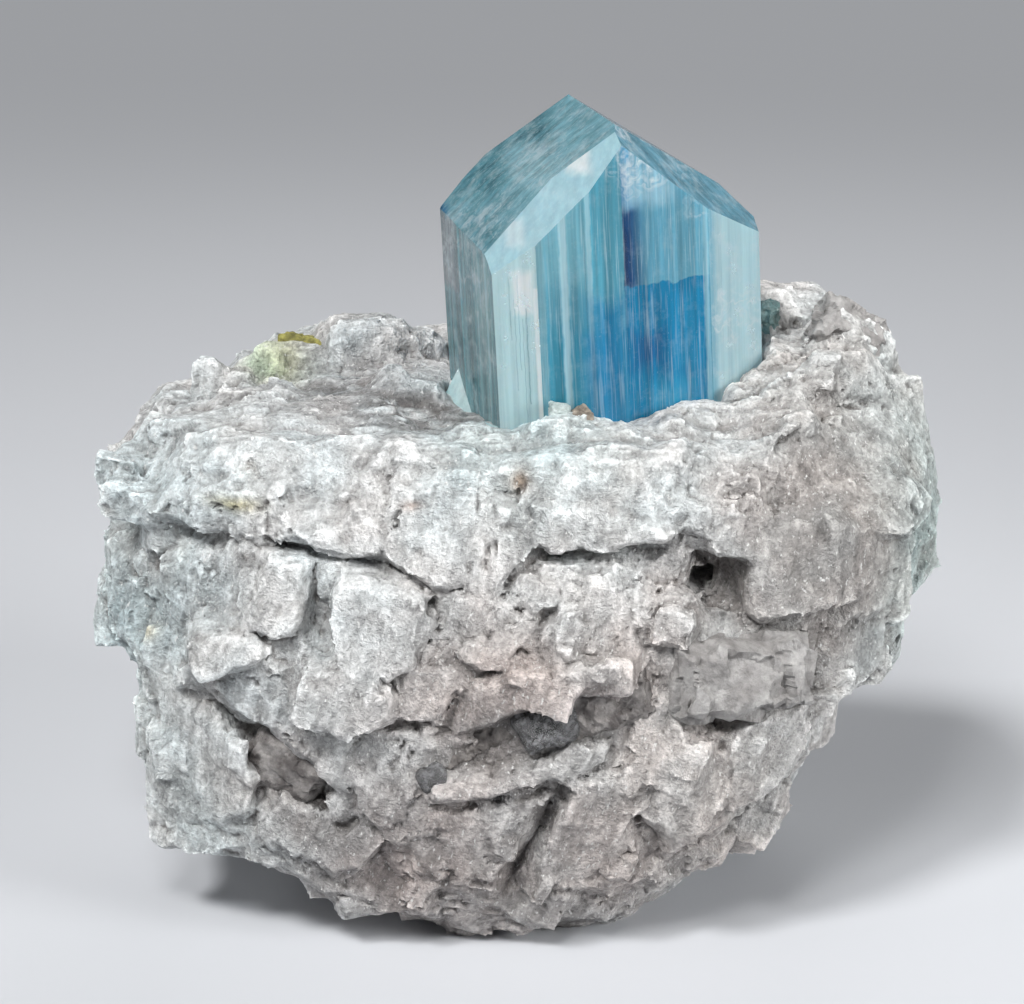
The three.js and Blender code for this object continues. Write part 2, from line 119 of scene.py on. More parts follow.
def object_mm(tree: bpy.types.NodeTree) -> bpy.types.NodeSocket:
    """The place on the object, in millimetres."""
    spot = add(tree, "TexCoord").outputs["Object"]
    return add(tree, "VectorMath", {0: spot, "Scale": 1 / MM}, operation="SCALE").outputs["Vector"]


def blank_material(name: str) -> bpy.types.Material:
    """A material with an empty node tree.

    Args:
        name: the real material's name.

    Returns:
        The new material.
    """
    material = bpy.data.materials.new(name)
    material.use_nodes = True
    material.node_tree.nodes.clear()
    return material


# ------------------------------------------------------------------------------ finishes


# How the feldspar's lamellae run, by their lean to the right in degrees: three ways of standing,
# then lying left to right.
STANDING_FLOWS = (8.0, 27.0, -48.0)
FLOWS = (*STANDING_FLOWS, 90.0)
CLEAVAGE_LEAN = 12.0  # how far the cleavage faces lean to the right, in degrees


@dataclass(frozen=True)
class FeldsparFinish:
    """Pale perthitic feldspar, broken along its cleavage."""

    name: str = "feldspar, broken along cleavage"
    # The fleck colour is the feldspar's pale streaks and also a painted highlight on sharp edges; the dust
    # colour is clouded dust and also painted shade in the hollows.
    fleck_and_highlight: int = 0xD4D4D2
    warm: int = 0xFFFBF9
    cool: int = 0xFAFEFF
    glint: int = 0xECECEA
    dust_and_shade: int = 0x5A5653
    lift: float = 1.85  # how much brighter than its tint an open face is
    own_tint: float = 0.88  # how much of the flecks' colour comes from the tint
    striation_mm: float = 0.42  # lamellae are finer; drawn this coarse so that they show
    broad: float = 3.5  # how many times wider the broad streaks are
    step_mm: float = 1.3
    grain_mm: float = 0.5
    cloud_mm: float = 4.0
    hue_mm: float = 7.0
    roughness: Row = (0.2, 0.75)
    ior: float = 1.53

    def lamellae(self, tree: bpy.types.NodeTree, place_mm: bpy.types.NodeSocket,
                 scale: float) -> bpy.types.NodeSocket:
        """Streaks along the lamellae of each place, from 0 to 1.

        Args:
            tree: the material's node tree.
            place_mm: the place in millimetres.
            scale: how wide the streaks are, as a share of the finest.

        Returns:
            The streaks.
        """
        stored = add(tree, "Attribute", attribute_name="flows").outputs
        shares = [*add(tree, "SeparateColor", {0: stored["Color"]}).outputs, stored["Alpha"]]
        total = None
        for share, turn in zip(shares, FLOWS):
            turned = add(tree, "VectorRotate", {"Vector": place_mm, "Angle": math.radians(-turn)},
                         rotation_type="Y_AXIS")
            drawn = add(tree, "VectorMath", {0: turned.outputs[0], 1: (1.0, 1.0, 0.1)}, operation="MULTIPLY")
            streaks = add(tree, "TexNoise", {"Vector": drawn.outputs[0], "Detail": 1.5, "Roughness": 0.6,
                                             "Scale": 1 / (self.striation_mm * scale)})
            part = add(tree, "Math", {0: streaks.outputs["Fac"], 1: share}, operation="MULTIPLY").outputs[0]
            total = part if total is None else add(tree, "Math", {0: total, 1: part}).outputs[0]
        return total

    def facets(self, tree: bpy.types.NodeTree, place_mm: bpy.types.NodeSocket,
               size: float) -> tuple[bpy.types.NodeSocket, bpy.types.NodeSocket]:
        """Small flat cleavage faces, each tilted its own way.

        Args:
            tree: the material's node tree.
            place_mm: the place in millimetres, drawn out along the lamellae.
            size: a face's size in millimetres.

        Returns:
            The height in millimetres for a slope of one, and a number of its own for each face.
        """
        cells = add(tree, "TexVoronoi", {"Vector": place_mm, "Scale": 1 / size})
        tilt = add(tree, "VectorMath", {0: cells.outputs["Color"], 1: (0.5, 0.5, 0.5)}, operation="SUBTRACT")
        offset = add(tree, "VectorMath", {0: place_mm, 1: cells.outputs["Position"]}, operation="SUBTRACT")
        height = add(tree, "VectorMath", {0: tilt.outputs[0], 1: offset.outputs[0]}, operation="DOT_PRODUCT")
        number = add(tree, "SeparateColor", {0: cells.outputs["Color"]})
        return height.outputs["Value"], number.outputs[0]

    def material(self) -> bpy.types.Material:
        """Builds the material: milky white body, pearly flats and fine parallel lamellae, with painted shade
        in the hollows, painted highlights on the edges, painted glints and each cleavage face painted lighter
        or darker as a painted reflection.

        Returns:
            The material.
        """
        material = blank_material(self.name)
        tree = material.node_tree
        place_mm = object_mm(tree)
        tint = add(tree, "Attribute", attribute_name="tint").outputs
        fine_streaks = self.lamellae(tree, place_mm, 1.0)
        broad_streaks = self.lamellae(tree, place_mm, self.broad)
        leaned = add(tree, "VectorRotate", {"Vector": place_mm, "Angle": math.radians(-CLEAVAGE_LEAN)},
                     rotation_type="Y_AXIS")
        leaned = add(tree, "VectorMath", {0: leaned.outputs[0], 1: (1.0, 1.0, 0.5)}, operation="MULTIPLY")
        steps = [self.facets(tree, leaned.outputs[0], size) for size in (self.step_mm, self.grain_mm)]
        grit = add(tree, "TexNoise", {"Vector": place_mm, "Scale": 1 / self.grain_mm, "Detail": 3.5,
                                      "Roughness": 0.75}).outputs["Fac"]
        clouds, hues = (add(tree, "TexNoise", {"Vector": place_mm, "Scale": 1 / size, "Detail": 2.0}
                            ).outputs["Fac"] for size in (self.cloud_mm, self.hue_mm))
        lit = add(tree, "MixRGB", {"Fac": 1.0, "Color1": tint["Color"],
                                   "Color2": (self.lift, self.lift, self.lift, 1.0)}, blend_type="MULTIPLY")
        fleck_and_highlight = add(tree, "MixRGB", {"Fac": self.own_tint, "Color1": paint(self.fleck_and_highlight),
                                     "Color2": lit.outputs[0]}).outputs[0]
        # Laid over the tint in turn: what places it, from where to where, how much of it, and its colour. The
        # broad streaks and the clouds are the feldspar's own; the last two coats are painted shade, with some
        # dust, in the hollows and a painted highlight on the sharp edges, both placed by the openness.
        colour = tint["Color"]
        for value, start, end, most, over in (
                (broad_streaks, 0.42, 0.66, 0.5, fleck_and_highlight), (clouds, 0.58, 0.4, 0.28, paint(self.dust_and_shade)),
                (tint["Alpha"], 0.5, 0.12, 0.9, paint(self.dust_and_shade)), (tint["Alpha"], 0.55, 0.74, 0.85, fleck_and_highlight)):
            share = add(tree, "MapRange", {"Value": value, "From Min": start, "From Max": end,
                                           "To Max": most})
            colour = add(tree, "MixRGB", {"Fac": share.outputs[0], "Color1": colour,
                                          "Color2": over}).outputs[0]
        # How bright the faces, the streaks and the grit are, from their darkest to their brightest; each
        # cleavage face's own brightness is a painted reflection, as if each caught the light its own way.
        level = None
        for value, start, end, least, most in (
                (steps[0][1], 0.0, 1.0, 1.2, 1.5), (fine_streaks, 0.36, 0.64, 0.94, 1.1),
                (grit, 0.36, 0.64, 0.8, 1.3)):
            part = add(tree, "MapRange", {"Value": value, "From Min": start, "From Max": end,
                                          "To Min": least, "To Max": most}).outputs[0]
            level = part if level is None else add(tree, "Math", {0: level, 1: part},
                                                   operation="MULTIPLY").outputs[0]
        cool = add(tree, "MixRGB", {
            "Fac": add(tree, "MapRange", {"Value": hues, "From Min": 0.36, "From Max": 0.64}).outputs[0],
            "Color1": paint(self.warm), "Color2": paint(self.cool)})
        for factor in (cool.outputs[0], level):
            colour = add(tree, "MixRGB", {"Fac": 1.0, "Color1": colour, "Color2": factor},
                         blend_type="MULTIPLY").outputs[0]
        # Painted glints: small pale specks drawn out along the lamellae, painted in as highlights of the
        # cleavage.
        sparks = add(tree, "TexNoise", {"Vector": leaned.outputs[0], "Scale": 1.6 / self.grain_mm,
                                        "Detail": 2.0})
        glinting = add(tree, "MixRGB", {
            "Fac": add(tree, "MapRange", {"Value": sparks.outputs["Fac"], "From Min": 0.62, "From Max": 0.74,
                                          "To Max": 0.7}).outputs[0],
            "Color1": colour, "Color2": paint(self.glint)})
        rough = add(tree, "MapRange", {"Value": steps[1][1], "From Min": 1.0, "From Max": 0.0,
                                       "To Min": self.roughness[0], "To Max": self.roughness[1]})
        normal = {}
        for height, rise_mm in ((steps[0][0], 0.6), (steps[1][0], 0.6), (grit, 0.55)):
            bump = add(tree, "Bump", {"Height": height, "Strength": 1.0, "Distance": rise_mm * MM, **normal})
            normal = {"Normal": bump.outputs[0]}
        shader = add(tree, "BsdfPrincipled", {
            "Base Color": glinting.outputs[0], "Roughness": rough.outputs[0], "IOR": self.ior, **normal})
        add(tree, "OutputMaterial", {"Surface": shader.outputs[0]})
        return material


@dataclass(frozen=True)
class StoneFinish:
    """A small mineral: glassy or dull broken surfaces, clouded inside."""

    name: str
    light: int
    dark: int
    cloud_mm: float
    roughness: Row
    bump_mm: float = 0.08
    ior: float = 1.54
    metallic: float = 0.0
    transmission: float = 0.0

    def material(self) -> bpy.types.Material:
        """Builds the material: two tones in clouds, with an uneven, finely broken surface.

        Returns:
            The material.
        """
        material = blank_material(self.name)
        tree = material.node_tree
        place_mm = object_mm(tree)
        clouds = add(tree, "TexNoise", {"Vector": place_mm, "Scale": 1 / self.cloud_mm, "Detail": 4.0})
        grit = add(tree, "TexNoise", {"Vector": place_mm, "Scale": 2.4 / self.cloud_mm ** 0.5, "Detail": 6.0,
                                      "Roughness": 0.7})
        chips = add(tree, "TexVoronoi", {"Vector": place_mm, "Scale": 1.6 / self.cloud_mm})
        colour = add(tree, "ValToRGB", {"Fac": clouds.outputs["Fac"]},
                     stops=((0.38, paint(self.dark)), (0.64, paint(self.light))))
        level = add(tree, "MapRange", {"Value": grit.outputs["Fac"], "From Min": 0.32, "From Max": 0.68,
                                       "To Min": 0.7, "To Max": 1.3})
        colour = add(tree, "MixRGB", {"Fac": 1.0, "Color1": colour.outputs[0], "Color2": level.outputs[0]},
                     blend_type="MULTIPLY")
        rough = add(tree, "MapRange", {"Value": chips.outputs["Distance"], "To Min": self.roughness[0],
                                       "To Max": self.roughness[1]})
        bump = add(tree, "Bump", {"Height": chips.outputs["Distance"], "Strength": 0.5,
                                  "Distance": self.bump_mm * MM})
        bump = add(tree, "Bump", {"Height": grit.outputs["Fac"], "Strength": 1.0,
                                  "Distance": 4 * self.bump_mm * MM, "Normal": bump.outputs[0]})
        shader = add(tree, "BsdfPrincipled", {
            "Base Color": colour.outputs[0], "Roughness": rough.outputs[0], "IOR": self.ior,
            "Metallic": self.metallic, "Transmission Weight": self.transmission,
            "Normal": bump.outputs[0]})
        add(tree, "OutputMaterial", {"Surface": shader.outputs[0]})
        return material


@dataclass(frozen=True)
class Zone:
    """A colour zone of the crystal, as a box across and up the prism."""

    across: Row
    up: Row
    colour: int
    strength: float = 1.0
    soft: float = 0.4


@dataclass(frozen=True)
class Veil:
    """A healed crack that shows as broken, curved white strokes round its start."""

    at: Row  # across and up the prism
    reach: float
    spacing: float
    strength: float = 0.8


# The prism's axis: its foot in the drawing's frame and its lean to the left, in degrees.
PRISM_FOOT = (-1.1, -9.5, 50.0)
PRISM_LEAN = 3.0


@dataclass(frozen=True)
class EuclaseFinish:
    """A natural face of blue euclase: glassy over a clouded, zoned and striated body."""

    name: str
    colour: int
    zones: tuple[Zone, ...] = ()
    veils: tuple[Veil, ...] = ()
    transmission: float = 0.5
    roughness: Row = (0.04, 0.14)
    striation: float = 0.5
    streaks: Row = (0.78, 1.18)  # how dark and how bright the growth streaks get
    milk: float = 0.25  # how much of the milky clouding shows
    flow: Row = (1.0, 1.0, 0.03)  # how the streaks are drawn out across, through and up
    turn: float = 0.0
    fog: int = 0xD9EDF2
    crack: int = 0xF2FAFC
    absorbed: int = 0x9FE4F2
    density: float = 28.0
    ior: float = 1.65

    def zoned(self, tree: bpy.types.NodeTree, spot: bpy.types.NodeSocket) -> bpy.types.NodeSocket | Rgba:
        """Lays the colour zones over the face's colour.

        Args:
            tree: the material's node tree.
            spot: the place across, through and up the prism, in millimetres.

        Returns:
            The zoned colour.
        """
        colour = paint(self.colour)
        waver = add(tree, "TexNoise", {"Vector": spot, "Scale": 0.8, "Detail": 2.0})
        moved = add(tree, "VectorMath", {0: waver.outputs["Color"], 1: (0.5, 0.5, 0.5)}, operation="SUBTRACT")
        moved = add(tree, "VectorMath", {0: moved.outputs[0], 1: (0.3, 0.0, 1.3), 2: spot},
                    operation="MULTIPLY_ADD")
        axes = add(tree, "SeparateXYZ", {0: moved.outputs[0]}).outputs
        for zone in self.zones:
            inside = None
            for axis, (low, high) in ((axes["X"], zone.across), (axes["Z"], zone.up)):
                for kind, values in (("SUBTRACT", {0: axis, 1: low}), ("SUBTRACT", {0: high, 1: axis})):
                    depth = add(tree, "Math", values, operation=kind).outputs[0]
                    inside = depth if inside is None else add(
                        tree, "Math", {0: inside, 1: depth}, operation="MINIMUM").outputs[0]
            share = add(tree, "MapRange", {"Value": inside, "From Min": -zone.soft, "From Max": zone.soft,
                                           "To Max": zone.strength}, interpolation_type="SMOOTHSTEP")
            colour = add(tree, "MixRGB", {"Fac": share.outputs[0], "Color1": colour,
                                          "Color2": paint(zone.colour)}).outputs[0]
        return colour

    def strokes(self, tree: bpy.types.NodeTree, spot: bpy.types.NodeSocket, veil: Veil,
                broken: bpy.types.NodeSocket, bent: bpy.types.NodeSocket) -> bpy.types.NodeSocket:
        """The white strokes of a veil.

        Args:
            tree: the material's node tree.
            spot: the place across, through and up the prism, in millimetres.
            veil: the veil.
            broken: a noise that breaks the strokes.
            bent: a noise vector round 0 that bends them.

        Returns:
            The strokes' share, 0 to 1.
        """
        away = add(tree, "VectorMath", {0: spot, 1: (veil.at[0], 0.0, veil.at[1])}, operation="SUBTRACT")
        away = add(tree, "VectorMath", {0: bent, 1: (5.0, 0.0, 5.0), 2: away.outputs[0]},
                   operation="MULTIPLY_ADD")
        away = add(tree, "VectorMath", {0: away.outputs[0], 1: (1.0, 0.0, 1.3)}, operation="MULTIPLY")
        gap = add(tree, "VectorMath", {0: away.outputs[0]}, operation="LENGTH").outputs["Value"]
        axes = add(tree, "SeparateXYZ", {0: away.outputs[0]}).outputs
        turn = add(tree, "Math", {0: axes["X"], 1: axes["Z"]}, operation="ARCTAN2")
        round_it = add(tree, "CombineXYZ", {"X": add(tree, "Math", {0: gap, 1: 1 / veil.spacing},
                                                     operation="MULTIPLY").outputs[0], "Y": turn.outputs[0]})
        arcs = add(tree, "TexNoise", {"Vector": round_it.outputs[0], "Scale": 1.0, "Detail": 3.0,
                                      "Distortion": 0.6})
        # The strokes fade out at the veil's reach and at its middle, and are thin and broken between.
        share = None
        for value, start, end, most in (
                (gap, veil.reach, 0.6 * veil.reach, veil.strength),
                (gap, 0.1 * veil.reach, 0.4 * veil.reach, 1.0),
                (arcs.outputs["Fac"], 0.45, 0.7, 1.0), (broken, 0.36, 0.5, 1.0)):
            part = add(tree, "MapRange", {"Value": value, "From Min": start, "From Max": end,
                                          "To Max": most}).outputs[0]
            share = part if share is None else add(tree, "Math", {0: share, 1: part},
                                                   operation="MULTIPLY").outputs[0]
        return share

    def material(self) -> bpy.types.Material:
        """Builds the material: a glassy face whose blue lies in zones and streaks under it.

        Returns:
            The material.
        """
        material = blank_material(self.name)
        tree = material.node_tree
        place_mm = object_mm(tree)
        foot = tuple(Vector(PRISM_FOOT) + SHIFT)
        spot = add(tree, "VectorRotate", {"Vector": add(tree, "VectorMath", {0: place_mm, 1: foot},
                                                        operation="SUBTRACT").outputs[0],
                                          "Angle": math.radians(PRISM_LEAN)},
                   rotation_type="Y_AXIS").outputs[0]
        turned = add(tree, "VectorRotate", {"Vector": spot, "Angle": math.radians(self.turn)},
                     rotation_type="Y_AXIS").outputs[0]
        drawn = add(tree, "VectorMath", {0: turned, 1: self.flow}, operation="MULTIPLY").outputs[0]
        broad = add(tree, "TexNoise", {"Vector": drawn, "Scale": 1.3, "Detail": 2.5, "Roughness": 0.6})
        fine = add(tree, "TexNoise", {"Vector": drawn, "Scale": 5.0, "Detail": 2.0, "Roughness": 0.7})
        etch = add(tree, "TexNoise", {"Vector": place_mm, "Scale": 0.5, "Detail": 4.0, "Roughness": 0.65})
        grain = add(tree, "TexNoise", {"Vector": place_mm, "Scale": 4.5, "Detail": 3.0})
        colour = self.zoned(tree, spot)
        level = add(tree, "MapRange", {"Value": broad.outputs["Fac"], "From Min": 0.32, "From Max": 0.68,
                                       "To Min": self.streaks[0], "To Max": self.streaks[1]})
        colour = add(tree, "MixRGB", {"Fac": 1.0, "Color1": colour, "Color2": level.outputs[0]},
                     blend_type="MULTIPLY").outputs[0]
        for cloud, low, high, share in ((fine, 0.54, 0.74, 0.4), (etch, 0.5, 0.74, self.milk),
                                        (grain, 0.64, 0.78, self.milk)):
            fog = add(tree, "MapRange", {"Value": cloud.outputs["Fac"], "From Min": low, "From Max": high,
                                         "To Max": share})
            colour = add(tree, "MixRGB", {"Fac": fog.outputs[0], "Color1": colour,
                                          "Color2": paint(self.fog)}).outputs[0]
        bends = add(tree, "TexNoise", {"Vector": spot, "Scale": 0.55, "Detail": 2.0})
        bent = add(tree, "VectorMath", {0: bends.outputs["Color"], 1: (0.5, 0.5, 0.5)}, operation="SUBTRACT")
        for veil in self.veils:
            white = self.strokes(tree, spot, veil, etch.outputs["Fac"], bent.outputs[0])
            colour = add(tree, "MixRGB", {"Fac": white, "Color1": colour,
                                          "Color2": paint(self.crack)}).outputs[0]
        rough = add(tree, "MapRange", {"Value": etch.outputs["Fac"], "From Min": 0.3, "From Max": 0.7,
                                       "To Min": self.roughness[0], "To Max": self.roughness[1]})
        lines = add(tree, "Bump", {"Height": fine.outputs["Fac"], "Strength": self.striation,
                                   "Distance": 0.06 * MM})
        bump = add(tree, "Bump", {"Height": etch.outputs["Fac"], "Strength": 0.2,
                                  "Distance": 0.06 * MM, "Normal": lines.outputs[0]})
        shader = add(tree, "BsdfPrincipled", {
            "Base Color": colour, "Roughness": rough.outputs[0], "IOR": self.ior,
            "Transmission Weight": self.transmission, "Normal": bump.outputs[0],
            "Subsurface Weight": 0.3, "Subsurface Radius": (0.7, 1.0, 1.2), "Subsurface Scale": 1.5 * MM})
        depth = add(tree, "VolumeAbsorption", {"Color": paint(self.absorbed), "Density": self.density})
        add(tree, "OutputMaterial", {"Surface": shader.outputs[0], "Volume": depth.outputs[0]})
        return material


FRONT_ZONES = (
    Zone((4.2, 9.4), (14, 40), 0x7CBCCC, 1.0, 2.2),
    Zone((4.2, 9.4), (-6, 10), 0x2C98B4, 0.85, 2.4),
    Zone((4.2, 4.9), (-6, 40), 0x9CCBD4, 0.5, 0.15),
    Zone((6.4, 7.1), (-6, 40), 0xC4E4EA, 0.6, 0.15),
    Zone((8.9, 9.35), (-6, 40), 0xB0D8E2, 0.55, 0.1),
    Zone((12.4, 21), (13, 40), 0x68AFC8, 1.0, 0.06),
    Zone((11.0, 14.0), (12.6, 21.4), 0x064A80, 1.0, 1.2),
    Zone((11.0, 12.9), (12.8, 18.4), 0x0A2E5E, 0.6, 0.8),
    Zone((11.0, 13.4), (20.8, 24.6), 0x0A7CB8, 0.9, 0.7),
    Zone((12.6, 17.4), (20.8, 24.8), 0xA8D8EA, 0.75, 0.9),
    Zone((12.4, 13.4), (25.0, 27.6), 0x3EA6D2, 0.9, 0.3),
    Zone((17.2, 21), (13, 21), 0x6CB0C6, 0.7, 0.9),
    Zone((9.4, 12.4), (-6, 40), 0x58A8BE, 1.0, 0.06),
    Zone((9.4, 12.4), (-6, 12), 0x0888B8, 1.0, 1.8),
    Zone((8.4, 12.4), (-6, 9), 0x0888BA, 0.7, 1.4),
    Zone((12.4, 20.6), (-6, 13.4), 0x0086B5, 1.0, 0.1),
    Zone((14.6, 18.6), (-4, 3.6), 0x2FA6D0, 0.75, 1.2),
    Zone((13.0, 16.0), (5.4, 8.6), 0x0A5C98, 0.7, 1.2),
    Zone((17.4, 19.4), (5.0, 12.0), 0x1C9CCC, 0.7, 1.2),
    Zone((20.1, 20.6), (-6, 40), 0x9CD2E2, 0.8, 0.15),
)
FRONT_VEILS = (
    Veil((15.4, 25.6), 4.6, 1.3, 0.9), Veil((14.4, 24.0), 3.6, 0.8, 0.6), Veil((20.6, 20.4), 2.6, 0.8, 0.3),
    Veil((2.4, 19.4), 3.0, 0.8, 0.5),
)


# ------------------------------------------------------------------------------ carving


def hashed(cells: np.ndarray, seed: int) -> np.ndarray:
    """Repeatable numbers from 0 to 1 for whole-numbered cells.

    Args:
        cells: whole numbers, three to a row.
        seed: another seed gives other numbers.

    Returns:
        One number a row.
    """
    # Large primes, and shifts that let the high digits change the low ones.
    mixed = cells[:, 0] * 73856093 ^ cells[:, 1] * 19349663 ^ cells[:, 2] * 83492791 ^ seed * 2654435761
    mixed = (mixed ^ (mixed >> 13)) * 1274126177 & 0x7FFFFFFF
    mixed = (mixed ^ (mixed >> 11)) * 40503 & 0x7FFFFFFF
    return (mixed & 0xFFFFFF) / float(0xFFFFFF)


def smooth_noise(points: np.ndarray, seed: int) -> np.ndarray:
    """Smooth noise from -1 to 1, with features about one unit wide.

    Args:
        points: places, three to a row.
        seed: another seed gives another pattern.

    Returns:
        One number a row.
    """
    cell = np.floor(points).astype(np.int64)
    part = points - cell
    fade = part * part * (3 - 2 * part)
    total = np.zeros(len(points))
    for corner in itertools.product((0, 1), repeat=3):
        share = np.prod(np.where(corner, fade, 1 - fade), axis=1)
        total += share * (hashed(cell + corner, seed) * 2 - 1)
    return total


def fractal(points: np.ndarray, seed: int, octaves: int = 3) -> np.ndarray:
    """Noise with finer and finer detail, from about -1 to 1.

    Args:
        points: places, three to a row, with the largest features about one unit wide.
        seed: another seed gives another pattern.
        octaves: how many times the detail is added, each at half the size and strength.

    Returns:
        One number a row.
    """
    layers = [smooth_noise(points * 2.0 ** octave + 7.3 * octave, seed + octave) / 2.0 ** octave
              for octave in range(octaves)]
    return sum(layers) / 1.4  # three octaves add up to about 1.4


def eased(share: np.ndarray) -> np.ndarray:
    """Shares held between 0 and 1, with soft ends."""
    share = np.clip(share, 0.0, 1.0)
    return share * share * (3 - 2 * share)


def path_gap(places: np.ndarray, path: tuple[Row, ...]) -> np.ndarray:
    """The distance from places to a path of straight runs.

    Args:
        places: two numbers a row.
        path: the path's corners.

    Returns:
        One distance a row.
    """
    gap = np.full(len(places), np.inf)
    for start, end in zip(np.array(path[:-1]), np.array(path[1:])):
        run = end - start
        share = np.clip((places - start) @ run / (run @ run), 0.0, 1.0)
        gap = np.minimum(gap, np.linalg.norm(places - start - share[:, None] * run, axis=1))
    return gap


def depth_inside(places: np.ndarray, outline: tuple[Row, ...]) -> np.ndarray:
    """How deep places lie inside an outline.

    Args:
        places: two numbers a row.
        outline: the outline's corners.

    Returns:
        One depth a row, below 0 outside.
    """
    inside = np.zeros(len(places), bool)
    for (x0, z0), (x1, z1) in zip(outline, outline[1:] + outline[:1]):
        crosses = (places[:, 1] < z0) != (places[:, 1] < z1)
        if z0 != z1:
            inside ^= crosses & (places[:, 0] < x0 + (places[:, 1] - z0) * (x1 - x0) / (z1 - z0))
    return path_gap(places, outline + outline[:1]) * np.where(inside, 1.0, -1.0)


def scattered_cells(points: np.ndarray, seed: int) -> np.ndarray:
    """Splits space into blocky cells of about one unit, each around a scattered middle.

    Args:
        points: places, three to a row.
        seed: another seed gives other cells.

    Returns:
        The whole-numbered cell of each place, three numbers a row.
    """
    home = np.floor(points).astype(np.int64)
    nearest = np.full(len(points), np.inf)
    chosen = home.copy()
    for offset in itertools.product((-1, 0, 1), repeat=3):
        cell = home + offset
        middle = cell + np.stack([hashed(cell, seed + axis) for axis in range(3)], axis=1)
        away = np.abs(points - middle)
        reach = away.max(axis=1) + 0.35 * away.sum(axis=1)
        closer = reach < nearest
        nearest[closer] = reach[closer]
        chosen[closer] = cell[closer]
    return chosen


def numbered(cells: np.ndarray) -> tuple[np.ndarray, np.ndarray]:
    """Numbers the cells from 0.

    Args:
        cells: whole numbers, three to a row.

    Returns:
        The number of each row's cell, and one row of each cell.
    """
    keys = hashed(cells, 17) * 2 ** 24 + hashed(cells, 91)
    unique, first, numbers = np.unique(keys, return_index=True, return_inverse=True)
    return numbers, cells[first]


def averages(values: np.ndarray, numbers: np.ndarray) -> np.ndarray:
    """The mean of the values, three to a row, over the rows of each number."""
    counts = np.bincount(numbers)
    return np.stack([np.bincount(numbers, values[:, axis]) / counts for axis in range(3)], axis=1)


def unit(vectors: np.ndarray) -> np.ndarray:
    """The vectors, three numbers a row, at length 1."""
    return vectors / np.maximum(np.linalg.norm(vectors, axis=1, keepdims=True), 1e-9)


# The ways a cleavage face can look: every mix of the three axes.
FACINGS = unit(np.array([way for way in itertools.product((-1.0, 0.0, 1.0), repeat=3) if any(way)]))


@dataclass(frozen=True)
class Slab:
    """A slab of broken rock: its outline, how far it stands out, its lean and its step's width."""

    outline: tuple[Row, ...]
    out: float
    lean: Row = (0.0, -0.05)
    edge: float = 0.5
    flat: float = 0.85


@dataclass(frozen=True)
class Crack:
    """A crack: its path, half its width and its depth."""

    path: tuple[Row, ...]
    width: float
    depth: float


